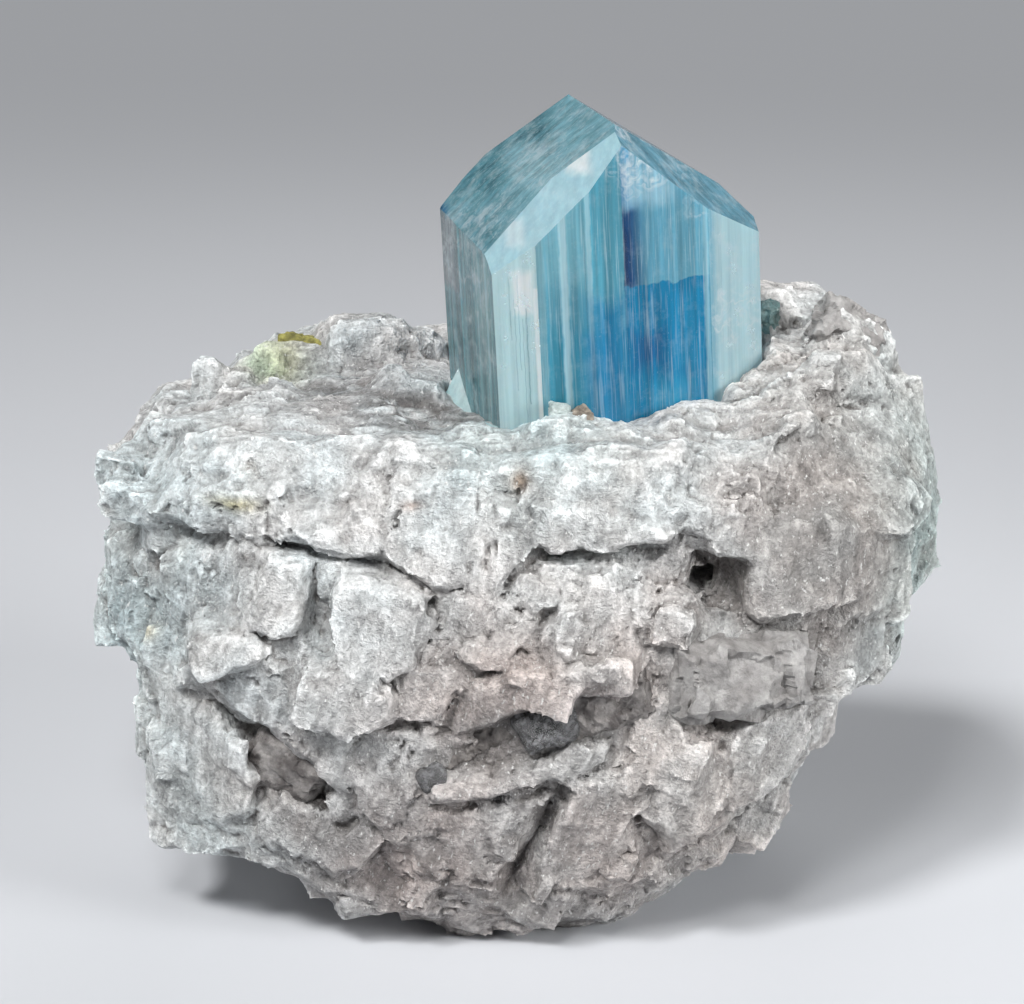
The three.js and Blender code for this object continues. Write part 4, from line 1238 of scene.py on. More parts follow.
# The front's slabs, from the back ones to those that lie over them: x and z of the corners.
FRONT_SLABS = (
    # the thick ledge at the upper left and its undercut lower lip
    Slab(((-37.4, 58), (-30, 58), (-29.8, 50.6), (-32, 49.3), (-37.4, 49.6)), 1.4, (0, 0), 0.5, 0.3),
    Slab(((-37.4, 49), (-31.8, 48.8), (-31.4, 45), (-33, 43.2), (-37.4, 43.5)), 0.9, (0.05, 0.05)),
    Slab(((-31.4, 58), (-21, 58), (-19.4, 47.6), (-21.5, 45.6), (-27, 45.2), (-31.2, 46)), 1.7,
         (0, 0), 0.5, 0.3),
    Slab(((-31, 45), (-26, 44.8), (-20.8, 45.2), (-20.4, 42.6), (-25, 42.2), (-31, 42.8)), 0.5, (0, 0.3)),
    Slab(((-20.6, 58), (-11.4, 58), (-11.6, 42.6), (-12.6, 40.9), (-17, 41.2), (-20.6, 42.4)), 1.3,
         (0.02, 0), 0.5, 0.3),
    Slab(((-11.6, 58), (2, 58), (1.4, 47), (-6, 46.8), (-11, 45)), 1.5, (0, 0), 0.5, 0.3),
    # the pitted block and the smooth block under the crystal
    Slab(((-10.6, 44.3), (-7, 46.8), (1.7, 46.4), (3.1, 44.5), (2.8, 41.9), (0.7, 40.4), (-1, 37.9),
          (-6.2, 37.7), (-9.2, 39), (-11.9, 40.8)), 2.1, (0, -0.04)),
    Slab(((1.2, 48.8), (2, 58), (13.8, 58), (16, 58), (16.2, 47.5), (15.1, 43.4), (13.2, 42.1),
          (7.9, 41.9), (3.1, 41.2), (2.8, 44.3), (1, 46.8)), 2.4, (0.02, 0), 0.5, 0.4),
    Slab(((12.6, 58), (16, 58), (16.2, 47.5), (15.1, 43.4), (13.2, 42.1), (12.8, 45)), 2.2, (-0.35, 0),
         0.5, 0.4),
    Slab(((24, 50.5), (31, 52.5), (37, 52), (39.5, 44), (38, 40.5), (33.5, 41.5), (31, 44.2), (25, 45),
          (23.6, 46.5)), 0.4, (0.05, -0.3), 1.0, 0.95),
    Slab(((36.6, 52), (41, 50), (41, 41), (38, 40.5), (38.4, 44)), 1.0, (-0.2, -0.1), 0.8),
    Slab(((16.4, 58), (19.3, 58), (19.6, 47), (18, 43.6), (15.8, 43.4), (16.4, 47)), 0.9),
    Slab(((19.6, 50.2), (24, 53), (26.5, 54), (27, 52), (22, 48), (19.8, 46.6)), 1.2),
    # under the ledge: the rough grey field, then the inclined slabs, each in two facets
    Slab(((-36.5, 40.6), (-31, 41.6), (-25, 41.4), (-24.6, 36.5), (-27, 33.6), (-33, 34.4), (-37, 36.6)),
         -0.4, (0, -0.12)),
    Slab(((-33, 38.4), (-29.6, 38.8), (-28.2, 36), (-30.6, 34.2), (-33.4, 35.4)), 0.5, (0.1, -0.2)),
    Slab(((-22.9, 41.4), (-20.8, 41), (-21.2, 36.5), (-22.2, 33.4), (-24.3, 33.5), (-25, 35.3),
          (-23.4, 38.4)), 1.9, (0.35, -0.05)),
    Slab(((-20.8, 41), (-18.6, 40.6), (-19.4, 38.5), (-19, 36.3), (-19.9, 34), (-22.2, 33.4),
          (-21.2, 36.5)), 1.9, (-0.45, -0.05)),
    Slab(((-15.9, 39.4), (-11.8, 39), (-7.6, 36.4), (-7.2, 34.6), (-9.4, 32.8), (-9.8, 30.5),
          (-12.5, 29.9), (-16.2, 31.3), (-16.8, 35.8)), 2.3, (0.0, -0.02)),
    Slab(((-16, 40.6), (-11.6, 40.2), (-7.2, 37.6), (-7.6, 36.2), (-11.8, 38.8), (-15.9, 39.2)), 1.9,
         (0, -0.7)),
    Slab(((-7.6, 36.8), (-6.4, 35.4), (-8.8, 32.4), (-9.2, 30.4), (-10.2, 30.6), (-9.6, 33)), 1.7,
         (-0.5, 0)),
    Slab(((-29.8, 33), (-24.3, 33.4), (-22.9, 32.5), (-23.1, 31), (-26.1, 29.9), (-29.3, 28.2),
          (-30.8, 31)), 2.1, (0.05, -0.16)),
    Slab(((-27, 29.2), (-22.4, 28), (-21.4, 25.4), (-24.2, 24.2), (-28, 26.4)), 0.6, (-0.1, -0.2)),
    Slab(((-18.9, 31.3), (-16.9, 31.5), (-11.8, 30.1), (-10.6, 28), (-11.3, 26), (-15.9, 24.4),
          (-18.9, 25.2), (-19.9, 28)), 2.5, (-0.02, -0.08)),
    Slab(((-12.6, 30.6), (-10.4, 28.4), (-11, 25.8), (-12.4, 25.6)), 2.0, (-0.6, 0)),
    Slab(((-10.4, 30.8), (-6.5, 31.5), (-4.6, 29.5), (-6.5, 27), (-8.6, 25.6), (-10.6, 26.2)), 1.2),
    # the small stepped blocks in the middle
    Slab(((-7, 38), (-4, 38.6), (-2.6, 36.6), (-3.6, 34.4), (-6.6, 34.6)), 1.4, (0.1, -0.1)),
    Slab(((-2.4, 35.4), (1.6, 35.8), (2.3, 33.8), (0.4, 33), (-2.2, 33.6)), 0.6, (0, -0.2)),
    Slab(((-4.7, 33.8), (-0.6, 33.2), (0.4, 31.6), (-3, 30.6), (-4.6, 31.6)), 1.5, (0, -0.25)),
    Slab(((1.5, 39.4), (4.3, 38.5), (4.7, 37.4), (2.3, 36), (1, 37.4)), 1.5, (-0.2, -0.1)),
    Slab(((6.6, 39.8), (9.4, 39.9), (9.8, 37.6), (8.4, 35.8), (6.6, 36.6)), 1.7, (-0.1, -0.1)),
    Slab(((2.5, 35.4), (6.4, 35), (6.9, 33.4), (3.4, 33)), 1.2, (0, -0.3)),
    Slab(((9.6, 36.6), (12.8, 37), (12.6, 34.2), (9.8, 33.8)), 0.6, (0.1, -0.1)),
    Slab(((14.7, 38.2), (18.3, 34.9), (17.2, 33.8), (14.4, 33.8)), 1.8, (-0.2, -0.1)),
    # the pinkish blocks above the seam
    Slab(((1, 31.4), (3.6, 30.6), (2.8, 26.9), (0.5, 25.2), (-2.1, 23.2), (-5.2, 24.4), (-4.4, 27.4),
          (-3.4, 29.2)), 1.5, (0.12, -0.04)),
    Slab(((3.8, 31.7), (10, 32), (9.9, 28.5), (7.4, 26.4), (2.6, 25.9), (3.4, 29)), 2.5, (0, -0.06)),
    # the lobe, the rim under the seam and the slabs of the belly
    Slab(((-34.6, 27), (-31, 27.6), (-28.5, 25), (-25.5, 21.5), (-24, 18), (-25.5, 14.5), (-29, 12.5),
          (-34.8, 12.8)), 1.2, (0, -0.02), 1.4),
    Slab(((-6.5, 20.8), (0, 21.2), (5, 22.2), (9.5, 23.8), (9, 20.8), (3, 19.6), (-3, 18), (-7.6, 18.3)),
         1.4, (0, -0.2)),
    Slab(((-23, 17.5), (-17, 18.5), (-12.5, 14.5), (-14, 9), (-19, 10), (-24, 13.5)), 1.2, (0.1, 0)),
    Slab(((-17, 19), (-10.4, 21.4), (-8.4, 18.8), (-12, 15.4)), 1.0, (0, -0.15)),
    Slab(((-11.8, 17), (-4, 17), (3, 18.2), (0.5, 12), (-2, 7.5), (-9, 7.5), (-12, 11)), 0.8, (0.05, 0)),
    Slab(((6.2, 19.5), (11.6, 20.2), (11.2, 14.8), (8, 10), (1.5, 6.5), (3, 12.5)), 1.3, (0.08, 0)),
    Slab(((14, 22.4), (17, 23.2), (17, 13), (15, 11), (13.2, 15.5)), 1.4, (0.25, 0)),
    Slab(((17, 23.2), (19.8, 23.8), (20.2, 19), (19.2, 13.6), (17, 13)), 1.5, (-0.35, 0)),
    Slab(((20.6, 24.5), (28.8, 26.3), (28.4, 21), (25, 17), (20.4, 15)), 1.8, (-0.08, -0.05)),
    # the upright blocks at the right, the block that caps the recess and the recess
    Slab(((20.6, 42.5), (24.5, 44.5), (31, 43.8), (33.5, 40), (31.5, 35.5), (26, 34.6), (21.4, 34.8)),
         2.0, (0.02, -0.03)),
    Slab(((20.6, 42.5), (23, 43.6), (23.4, 34.8), (21.4, 34.8)), 1.4, (0.6, 0)),
    Slab(((29.6, 44), (33.8, 42.4), (36.8, 38), (32.4, 35.6), (30.4, 35.2)), 1.4, (-0.3, 0)),
    Slab(((16.6, 42), (22.2, 40.4), (21.6, 34.9), (17.4, 35)), -2.0, (0.3, 0), 0.4, 0.4),
    Slab(((17.4, 43.5), (20, 45.2), (23.6, 45), (23.8, 42.5), (22.4, 40), (18.2, 41)), 2.2, (0, -0.1)),
    # the hollows that hold the quartz and the ore
    Slab(((-8.2, 20), (-7.6, 22.4), (0.6, 26.8), (5.6, 28.2), (8, 30), (13.4, 29.8), (12.6, 26), (5, 22.6),
          (-2, 20.4)), -0.9, (0, 0), 1.0, 0.4),
    Slab(((-26, 22.6), (-24, 24.4), (-16.6, 18.6), (-17, 15.6), (-20, 16.4)), -0.8, (0, 0), 1.0, 0.4),
    Slab(((14.2, 26), (14.2, 33.6), (26.4, 34), (27, 26)), -0.8, (0, 0), 1.0, 0.4),
)
FRONT_CRACKS = (
    Crack(((-36.5, 41.9), (-31, 41.6), (-25.2, 42.2)), 1.5, 2.4),
    Crack(((-25.2, 42.2), (-19.4, 41.3), (-15.9, 40.7), (-11.3, 39.6), (-8.3, 38.1), (-6.9, 36.3),
           (-6.8, 35.1)), 0.8, 2.8),
    Crack(((-18.6, 39.6), (-18, 36), (-17.6, 32.6)), 1.3, 1.0),
    Crack(((-7.2, 17.4), (-3.4, 17.1), (-0.8, 17.5), (1, 18.5), (2.3, 19.6)), 0.6, 1.5),
    Crack(((5.4, 20.3), (2.6, 14), (-1.1, 5.8)), 0.7, 1.6),
    Crack(((13.2, 19.8), (12.6, 17.6), (11.9, 15.3)), 0.9, 3.0),
    Crack(((18.2, 35), (20, 34.9), (22.3, 34.8)), 0.5, 1.2),
    Crack(((-30.4, 26), (-25, 22.4), (-19, 17), (-13.2, 13.5)), 1.6, 1.8),
    Crack(((-19, 24.7), (-14, 24.4), (-9.4, 25)), 0.9, 1.4),
    Crack(((-25, 33), (-22.4, 33)), 0.9, 1.0),
    Crack(((-8, 25.5), (-6.6, 24), (-5.7, 23)), 0.5, 1.0),
    Crack(((3.3, 40.8), (8, 41.2), (14.2, 41.8)), 0.7, 1.5),
    Crack(((19.8, 50), (21.6, 50.2), (23.4, 50.8)), 0.6, 1.4),
    Crack(((-2.1, 42.6), (-2.3, 41.2), (-2.4, 40.1)), 0.6, 1.6),
)


@dataclass(frozen=True)
class Tint:
    """A change of tone, a stain or a patch of painted shade on the rock."""

    middle: Row
    reach: Row | float
    colour: int
    strength: float
    streaked: bool = False  # broken up along the lamellae


@dataclass
class Rock:
    """The feldspar matrix, carved from the CAD rock with its sockets closed."""

    finish: FeldsparFinish = field(default_factory=FeldsparFinish)
    voxel_mm: float = 0.32
    triangles: int = 352000
    seam: float = 0.0  # where the two halves meet, from the front to the back
    sharp: float = 38.0  # faces that meet at more than this many degrees stay sharp
    plug_wall: float = 0.5  # how far the rock behind a pocket mineral reaches past it
    # How far the standing lamellae lean to the right: x, z and degrees.
    lay: tuple[Row, ...] = (
        (-30, 46, 8), (-10, 46, 14), (8, 46, 12), (-24, 36, 28),
        (-10, 36, 10), (-30, 20, 4), (-18, 10, 50), (-2, 30, 24),
        (0, 12, 22), (14, 14, 20), (20, 32, 10), (30, 38, 16),
        (33, 47, -60), (22, 46, 30), (26, 22, 24),
    )
    # From the broad tones, with painted shade low on the belly and in the recess at the right, to the stains,
    # the dark streaks of the top and the specks.
    tints: tuple[Tint, ...] = (
        Tint((-34, -16, 48), 13, 0xA2ABAD, 0.6),
        Tint((-38, -6, 30), 11, 0x98A8AA, 0.7),
        Tint((40, -2, 38), 12, 0x8FA19E, 0.8),
        Tint((36, -8, 44), 9, 0x939C9A, 0.6),
        Tint((-2, -21, 29), 9, 0x7C706B, 0.85),
        Tint((8, -21, 31), 7, 0x9C908B, 0.6),
        # Painted shade: the lower right of the belly darker towards the bottom, where the light from above
        # reaches less.
        Tint((20, -20, 14), 14, 0x948E8A, 0.85),
        Tint((28, -18, 38), 11, 0x6E6966, 0.9),
        Tint((30, -12, 46), 9, 0x6B6866, 0.8),
        # Painted shade: the belly darker towards the bottom, where the light from above reaches less.
        Tint((-12, -19, 11), 12, 0x6A615E, 0.9),
        Tint((4, -18, 6), 14, 0x7C7572, 0.85),
        Tint((-30, -12, 14), 8, 0xA3AAAA, 0.7),
        Tint((-38, -14, 34), 6, 0x6F7A7D, 0.7),
        Tint((-14, 0, 51), 14, 0x86898B, 0.75),
        Tint((2, -12, 49.6), 9, 0x7E9496, 0.6),
        Tint((28, -4, 50), 12, 0x8C8885, 0.7),
        # Painted shade in the recess under the block at the right.
        Tint((19.6, -17, 38), 3.4, 0x6E6A68, 0.8),
        Tint((-24, 10, 53), 3, 0x96945A, 0.6),
        Tint((2, -22, 24), 4.5, 0x5E5B5A, 0.6),
        Tint((-24, -15, 46.5), 1.6, 0x8B6E4E, 0.7),
        Tint((0.6, -18, 47.6), 1, 0x8B6E4E, 0.8),
        Tint((-34, -16, 36.6), 1.4, 0x9A8148, 0.8),
        Tint((-35, -14, 32), 1.2, 0x9A8148, 0.7),
        Tint((-26, 0, 48.5), (4, 2.5, 2), 0x3A3635, 1, True),
        Tint((-22, -5, 48), (4.5, 3, 2), 0x3A3635, 1, True),
        Tint((-17, -11.5, 47.3), (3.5, 2.5, 2), 0x3A3635, 1, True),
        Tint((-17, 4, 50.3), (6, 4, 2.5), 0x3A3635, 1, True),
        Tint((-11, -3, 50), (6, 5, 2.5), 0x3A3635, 1, True),
        Tint((-8, -9, 49.3), (5, 5, 2.5), 0x3A3635, 1, True),
        Tint((-6, -14, 48), (4, 2, 2), 0x3A3635, 1, True),
        Tint((-25.6, 11, 52.8), 2.4, 0x93AB98, 0.8),
        Tint((-4.2, -20, 21.6), (3.4, 5, 1), 0x2C2A2A, 0.9),
        Tint((0.5, -20, 25.2), (4.5, 5, 1.5), 0x3A3838, 0.9),
        Tint((7.5, -20, 27.8), (4, 5, 1.6), 0x626064, 0.8),
        Tint((-0.5, -20, 18.2), (4.8, 5, 0.7), 0x2C2A2A, 0.9),
        Tint((-22, -18, 18), (3.6, 5, 2.4), 0x3E3936, 0.75),
        Tint((-18, -18, 14), (3.4, 5, 2.6), 0x463F3C, 0.75),
        Tint((-25.6, -18, 45.4), (2.2, 3, 0.7), 0x8E8458, 0.75),
        Tint((-31.4, -18, 40.4), (0.6, 3, 1.4), 0x8A7E4E, 0.7),
        Tint((-9.2, -18, 45.7), (1, 3, 0.5), 0x6E5648, 0.8),
        Tint((-32.5, -18, 37), (0.5, 5, 0.6), 0x2E2C2A, 0.85),
        Tint((-21, -18, 29.2), (0.35, 5, 0.7), 0x262422, 0.9),
        Tint((-29.4, -18, 32.6), (0.4, 5, 0.4), 0x2E2C2A, 0.85),
        Tint((-27.5, -18, 30.2), (0.35, 5, 0.35), 0x2E2C2A, 0.85),
        Tint((-24.8, -18, 40.1), (0.5, 3, 0.4), 0x4A4440, 0.8),
    )
    body_colour: int = 0xA3A4A4
    # Where the top lies lower: middle, reach and depth.
    dips: tuple[tuple[Row, Row, float], ...] = (
        ((-30.5, 8.5, 50.5), (5.0, 5.0, 4.0), 1.7), ((-40.5, 3.0, 47.0), (4.0, 8.0, 5.0), 2.0),
        ((-25.0, 8.0, 50.5), (3.0, 4.0, 3.0), 1.0), ((-31.0, 18.0, 53.0), (5.0, 6.0, 5.0), 2.4),
    )

    def build(self) -> bpy.types.Object:
        """Carves the rock, paints it, hides the CAD rock and hangs both halves on the root body.

        Returns:
            The rock's object.
        """
        voxel_mm = self.voxel_mm * 1
        sources = [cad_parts["feldspar_matrix"].data, *self.plugs()]
        rock = in_scene("matrix_rock", joined_copy("matrix_rock", sources))
        remeshed(rock, 2 * voxel_mm)
        # The large form: the CAD rock's flat faces melt together, and the lumps grow on.
        carving = Carving(rock.data)
        carving.melt(4)
        for dip in self.dips:
            carving.sink(*dip)
        rock.data = joined_copy("matrix_rock", [rock.data, *(lump.mesh() for lump in LUMPS)])
        remeshed(rock, voxel_mm)
        LOG.info("rock before carving: %d faces", len(rock.data.polygons))
        # The broad cleavage faces, the front's slabs and cracks, then the small blocks.
        carving = Carving(rock.data, self.lay)
        carving.cleave((5.0, 4.0, 6.5), 0.6, 0.6, 0.14, 206)
        carving.terrace((7.0, 7.0, 14.0), 0.35, 1.6, 7.0, 201)
        carving.settle(2, 0.7)
        carving.shape(FRONT_SLABS, FRONT_CRACKS, (0.0, -1.0, 0.0), (0, 2), 501)
        blocks = [patch.mesh(carving) for patch in RUBBLE]
        rock.data = joined_copy("matrix_rock", [rock.data, *blocks, *(knob.mesh() for knob in KNOBS)])
        remeshed(rock, voxel_mm)
        # The fine breaks, steps, chips and ridges.
        carving = Carving(rock.data, self.lay)
        carving.calm(FRONT_SLABS, 0.25)
        carving.cleave((3.4, 2.6, 4.2), 0.3, 0.3, 0.13, 211)
        carving.terrace((4.0, 4.0, 8.0), 0.18, 1.8, 6.0, 207)
        carving.cleave((1.7, 1.4, 2.4), 0.2, 0.14, 0.11, 216)
        carving.chip(6, 0.6, 1.6, 221)
        carving.ridge((0.45, 0.6, 5.0), 0.06, 231)
        carving.pit((-4.0, -20.0, 42.0), 5.0, 0.9, 241)
        carving.warp(0.8, 0.04, 251)
        # Nothing reaches below the flat base.
        carving.points[:, 2] = np.maximum(carving.points[:, 2], 0.0)
        carving.write()
        thinned(rock, self.triangles)
        self.paint_on(Carving(rock.data, self.lay))
        rock.data.materials.clear()
        rock.data.materials.append(self.finish.material())
        rear = in_scene("matrix_rock_rear", rock.data.copy())
        for half, way in ((rock, 1.0), (rear, -1.0)):
            self.halve(half.data, way)
            shade(half.data, self.sharp)
            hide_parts("feldspar_matrix")
            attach(half, "root")
            LOG.info("%s: %d triangles", half.name, triangle_count(half.data))
        return rock

    def halve(self, mesh: bpy.types.Mesh, way: float) -> None:
        """Keeps the rock on one side of a hidden upright seam, as a closed body.

        Args:
            mesh: the whole rock.
            way: 1 keeps the front, -1 the rear.
        """
        bm = bmesh.new()
        bm.from_mesh(mesh)
        parts = bm.verts[:] + bm.edges[:] + bm.faces[:]
        bmesh.ops.bisect_plane(bm, geom=parts, dist=1e-7, plane_co=place(0.0, self.seam, 0.0),
                               plane_no=(0.0, way, 0.0), clear_outer=True)
        bmesh.ops.holes_fill(bm, edges=[edge for edge in bm.edges if edge.is_boundary])
        bmesh.ops.triangulate(bm, faces=[face for face in bm.faces if len(face.verts) > 4])
        bm.to_mesh(mesh)
        bm.free()

    def plugs(self) -> list[bpy.types.Mesh]:
        """Rock that closes the sockets behind the pocket minerals, so that they stand grown in.

        Returns:
            The plugs' meshes.
        """
        meshes = [self.slab("root_plug", (10.0, 2.4, 47.4), (35.0, 26.6, 4.4))]
        for grain in GRAINS:
            plug = joined_copy(f"{grain.name}_plug", [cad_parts[grain.node].data])
            carving = Carving(plug)
            carving.points += self.plug_wall * carving.normals + np.array(grain.sunk)
            carving.write()
            meshes.append(plug)
        return meshes

    def slab(self, name: str, middle: Row, size: Row) -> bpy.types.Mesh:
        """A plain block of rock, which the carving joins to the rest.

        Args:
            name: the mesh's name.
            middle: its centre, in millimetres.
            size: its sides, in millimetres.

        Returns:
            The block's mesh.
        """
        bm = bmesh.new()
        bmesh.ops.create_cube(bm, size=1.0)
        bmesh.ops.scale(bm, vec=Vector(size) * MM, verts=bm.verts[:])
        bmesh.ops.translate(bm, vec=place(*middle), verts=bm.verts[:])
        return finished(bm, name)

    def paint_on(self, carving: Carving) -> None:
        """Stores the tint with its painted shade, the openness that places the painted shade in the hollows
        and the painted highlights on sharp edges, and the run of the lamellae on the rock's points.

        Args:
            carving: the finished surface.
        """
        points = carving.points
        colour = np.tile(np.array(paint(self.body_colour)[:3]), (len(points), 1))
        wander = 2.5 * np.stack([smooth_noise(points / 5.0, seed) for seed in (71, 72, 73)], axis=1)
        lamellae = np.clip(0.5 + 3.2 * smooth_noise(points / np.array((3.2, 1.4, 0.7)), 74), 0.0, 1.0)
        for tint in self.tints:
            reach = np.broadcast_to(np.array(tint.reach, float), 3)
            gaps = (points + wander * min(1.0, reach.min() / 6.0) - np.array(tint.middle)) / reach
            share = tint.strength * np.exp(-(gaps ** 2).sum(axis=1)) * (lamellae if tint.streaked else 1.0)
            colour += (np.array(paint(tint.colour)[:3]) - colour) * share[:, None]
        # The openness places the painted shade in the hollows and the painted highlights on the sharp edges.
        fine = carving.hollowness(3, 0.25)
        broad = carving.hollowness(14, 0.9)
        openness = np.clip(0.45 * fine + 0.55 * broad, 0.0, 1.0)
        mesh = carving.mesh
        stored = mesh.attributes.new("tint", "FLOAT_COLOR", "POINT")
        stored.data.foreach_set("color", np.column_stack([colour, openness]).ravel())
        stored = mesh.attributes.new("flows", "FLOAT_COLOR", "POINT")
        stored.data.foreach_set("color", carving.flows().ravel())


# ------------------------------------------------------------------------------ the crystals


class Face(Enum):
    """The crystal's faces by their looks: the number of their material."""

    LEFT = 0
    ROOF_LEFT = 1
    BAND = 2
    STRIP = 3
    FRONT = 4
    RIGHT = 5
    ROOF_RIGHT = 6
    BACK = 7


FINISHES = {
    # A worn side face: grey-green, streaked, only half clear.
    Face.LEFT: EuclaseFinish(
        "euclase, streaked side face", 0x5F949C,
        (Zone((-5.2, -3.6), (12, 19), 0xB7B5B8, 0.6, 0.6), Zone((-1.6, -0.5), (0, 16), 0x9CC4C8, 0.6, 0.6)),
        (Veil((-4.0, 15.0), 4.0, 0.8, 0.4),), streaks=(0.55, 1.5), milk=0.6),
    # A glassy growth face: sea-green depths with hazy streaks that rise to the tip.
    Face.ROOF_LEFT: EuclaseFinish(
        "euclase, glassy roof face", 0x80B2BE,
        (Zone((1.0, 6.0), (26.0, 32), 0x417682, 0.85, 1.6),
         Zone((-5.2, 1.4), (21.0, 25.8), 0x4A8490, 0.75, 1.4),
         Zone((2.6, 9.0), (22.6, 25.4), 0x9CC6D0, 0.7, 1.0),
         Zone((-3.0, 1.0), (17.0, 19.6), 0x548A96, 0.7, 1.2),
         Zone((-6.5, -4.2), (17.5, 20.0), 0x0F5C8C, 0.8, 0.5)),
        (Veil((6.0, 24.0), 4.5, 0.8, 0.3), Veil((0.0, 18.0), 4.5, 0.8, 0.4)),
        streaks=(0.72, 1.25), milk=0.5, flow=(0.28, 1.0, 0.9), turn=40.0),
    # A smooth bevel: its pale colour and near-white patches are a painted reflection of the light that it
    # catches whole, so it looks like pale blue milk glass.
    Face.BAND: EuclaseFinish(
        "euclase, smooth bevel face", 0xB6DEE8,
        (Zone((7.5, 9.6), (24.4, 28.5), 0xF4FCFF, 0.9, 0.5),
         Zone((1.5, 3.2), (17.8, 20), 0xE0F0F4, 0.7, 0.4)),
        streaks=(0.9, 1.08), milk=0.3, roughness=(0.12, 0.25), striation=0.1),
    # A peeled face: near white, with thin dark splits that run up it.
    Face.STRIP: EuclaseFinish(
        "euclase, peeled narrow face", 0xC0E2E6,
        (Zone((1.9, 3.7), (11.5, 15.4), 0xF6FAFA, 0.85, 0.5), Zone((1.5, 1.56), (9, 15), 0x6FA0A6, 0.7, 0.05),
         Zone((1.9, 1.96), (4, 13), 0x6FA0A6, 0.7, 0.05), Zone((2.3, 2.36), (6, 15), 0x5B95A2, 0.6, 0.05),
         Zone((2.65, 2.7), (1, 11), 0x6FA0A6, 0.7, 0.05), Zone((3.0, 3.1), (3, 12), 0x4F8E9E, 0.6, 0.06),
         Zone((3.75, 4.2), (-6, 14), 0xF2FAFA, 0.8, 0.12)),
        streaks=(0.85, 1.15), milk=0.5, striation=0.9, roughness=(0.1, 0.3)),
    # The striated front: clear enough to show the deep blue zones behind its fine upright lines.
    Face.FRONT: EuclaseFinish("euclase, striated prism face", 0x5AA3B8, FRONT_ZONES, FRONT_VEILS,
                              streaks=(0.7, 1.25), striation=0.8, milk=0.16),
    # A milky side: pale, with white healed cracks.
    Face.RIGHT: EuclaseFinish(
        "euclase, milky prism face", 0xC2E8F0, (Zone((20.4, 21.2), (-6, 40), 0x7CC4DC, 0.7, 0.4),),
        (Veil((23.4, 9.0), 4.0, 0.9, 0.6),), streaks=(0.86, 1.1), milk=0.7, roughness=(0.1, 0.3)),
    # The clear roof over the healed crack near the tip.
    Face.ROOF_RIGHT: EuclaseFinish(
        "euclase, clear roof face", 0x79AFC3, (),
        (Veil((14.0, 28.4), 3.4, 0.9, 0.9), Veil((19.0, 24.0), 3.0, 0.9, 0.35)),
        streaks=(0.7, 1.25), milk=0.5, flow=(0.3, 1.0, 0.5), turn=-30.0),
    # The rear faces, striated as the front is, with the blue zone low down.
    Face.BACK: EuclaseFinish("euclase, striated rear face", 0x7CBCCE,
                             (Zone((4, 20), (-6, 12), 0x2496C8, 0.8, 1.5),), streaks=(0.7, 1.25), milk=0.3),
}


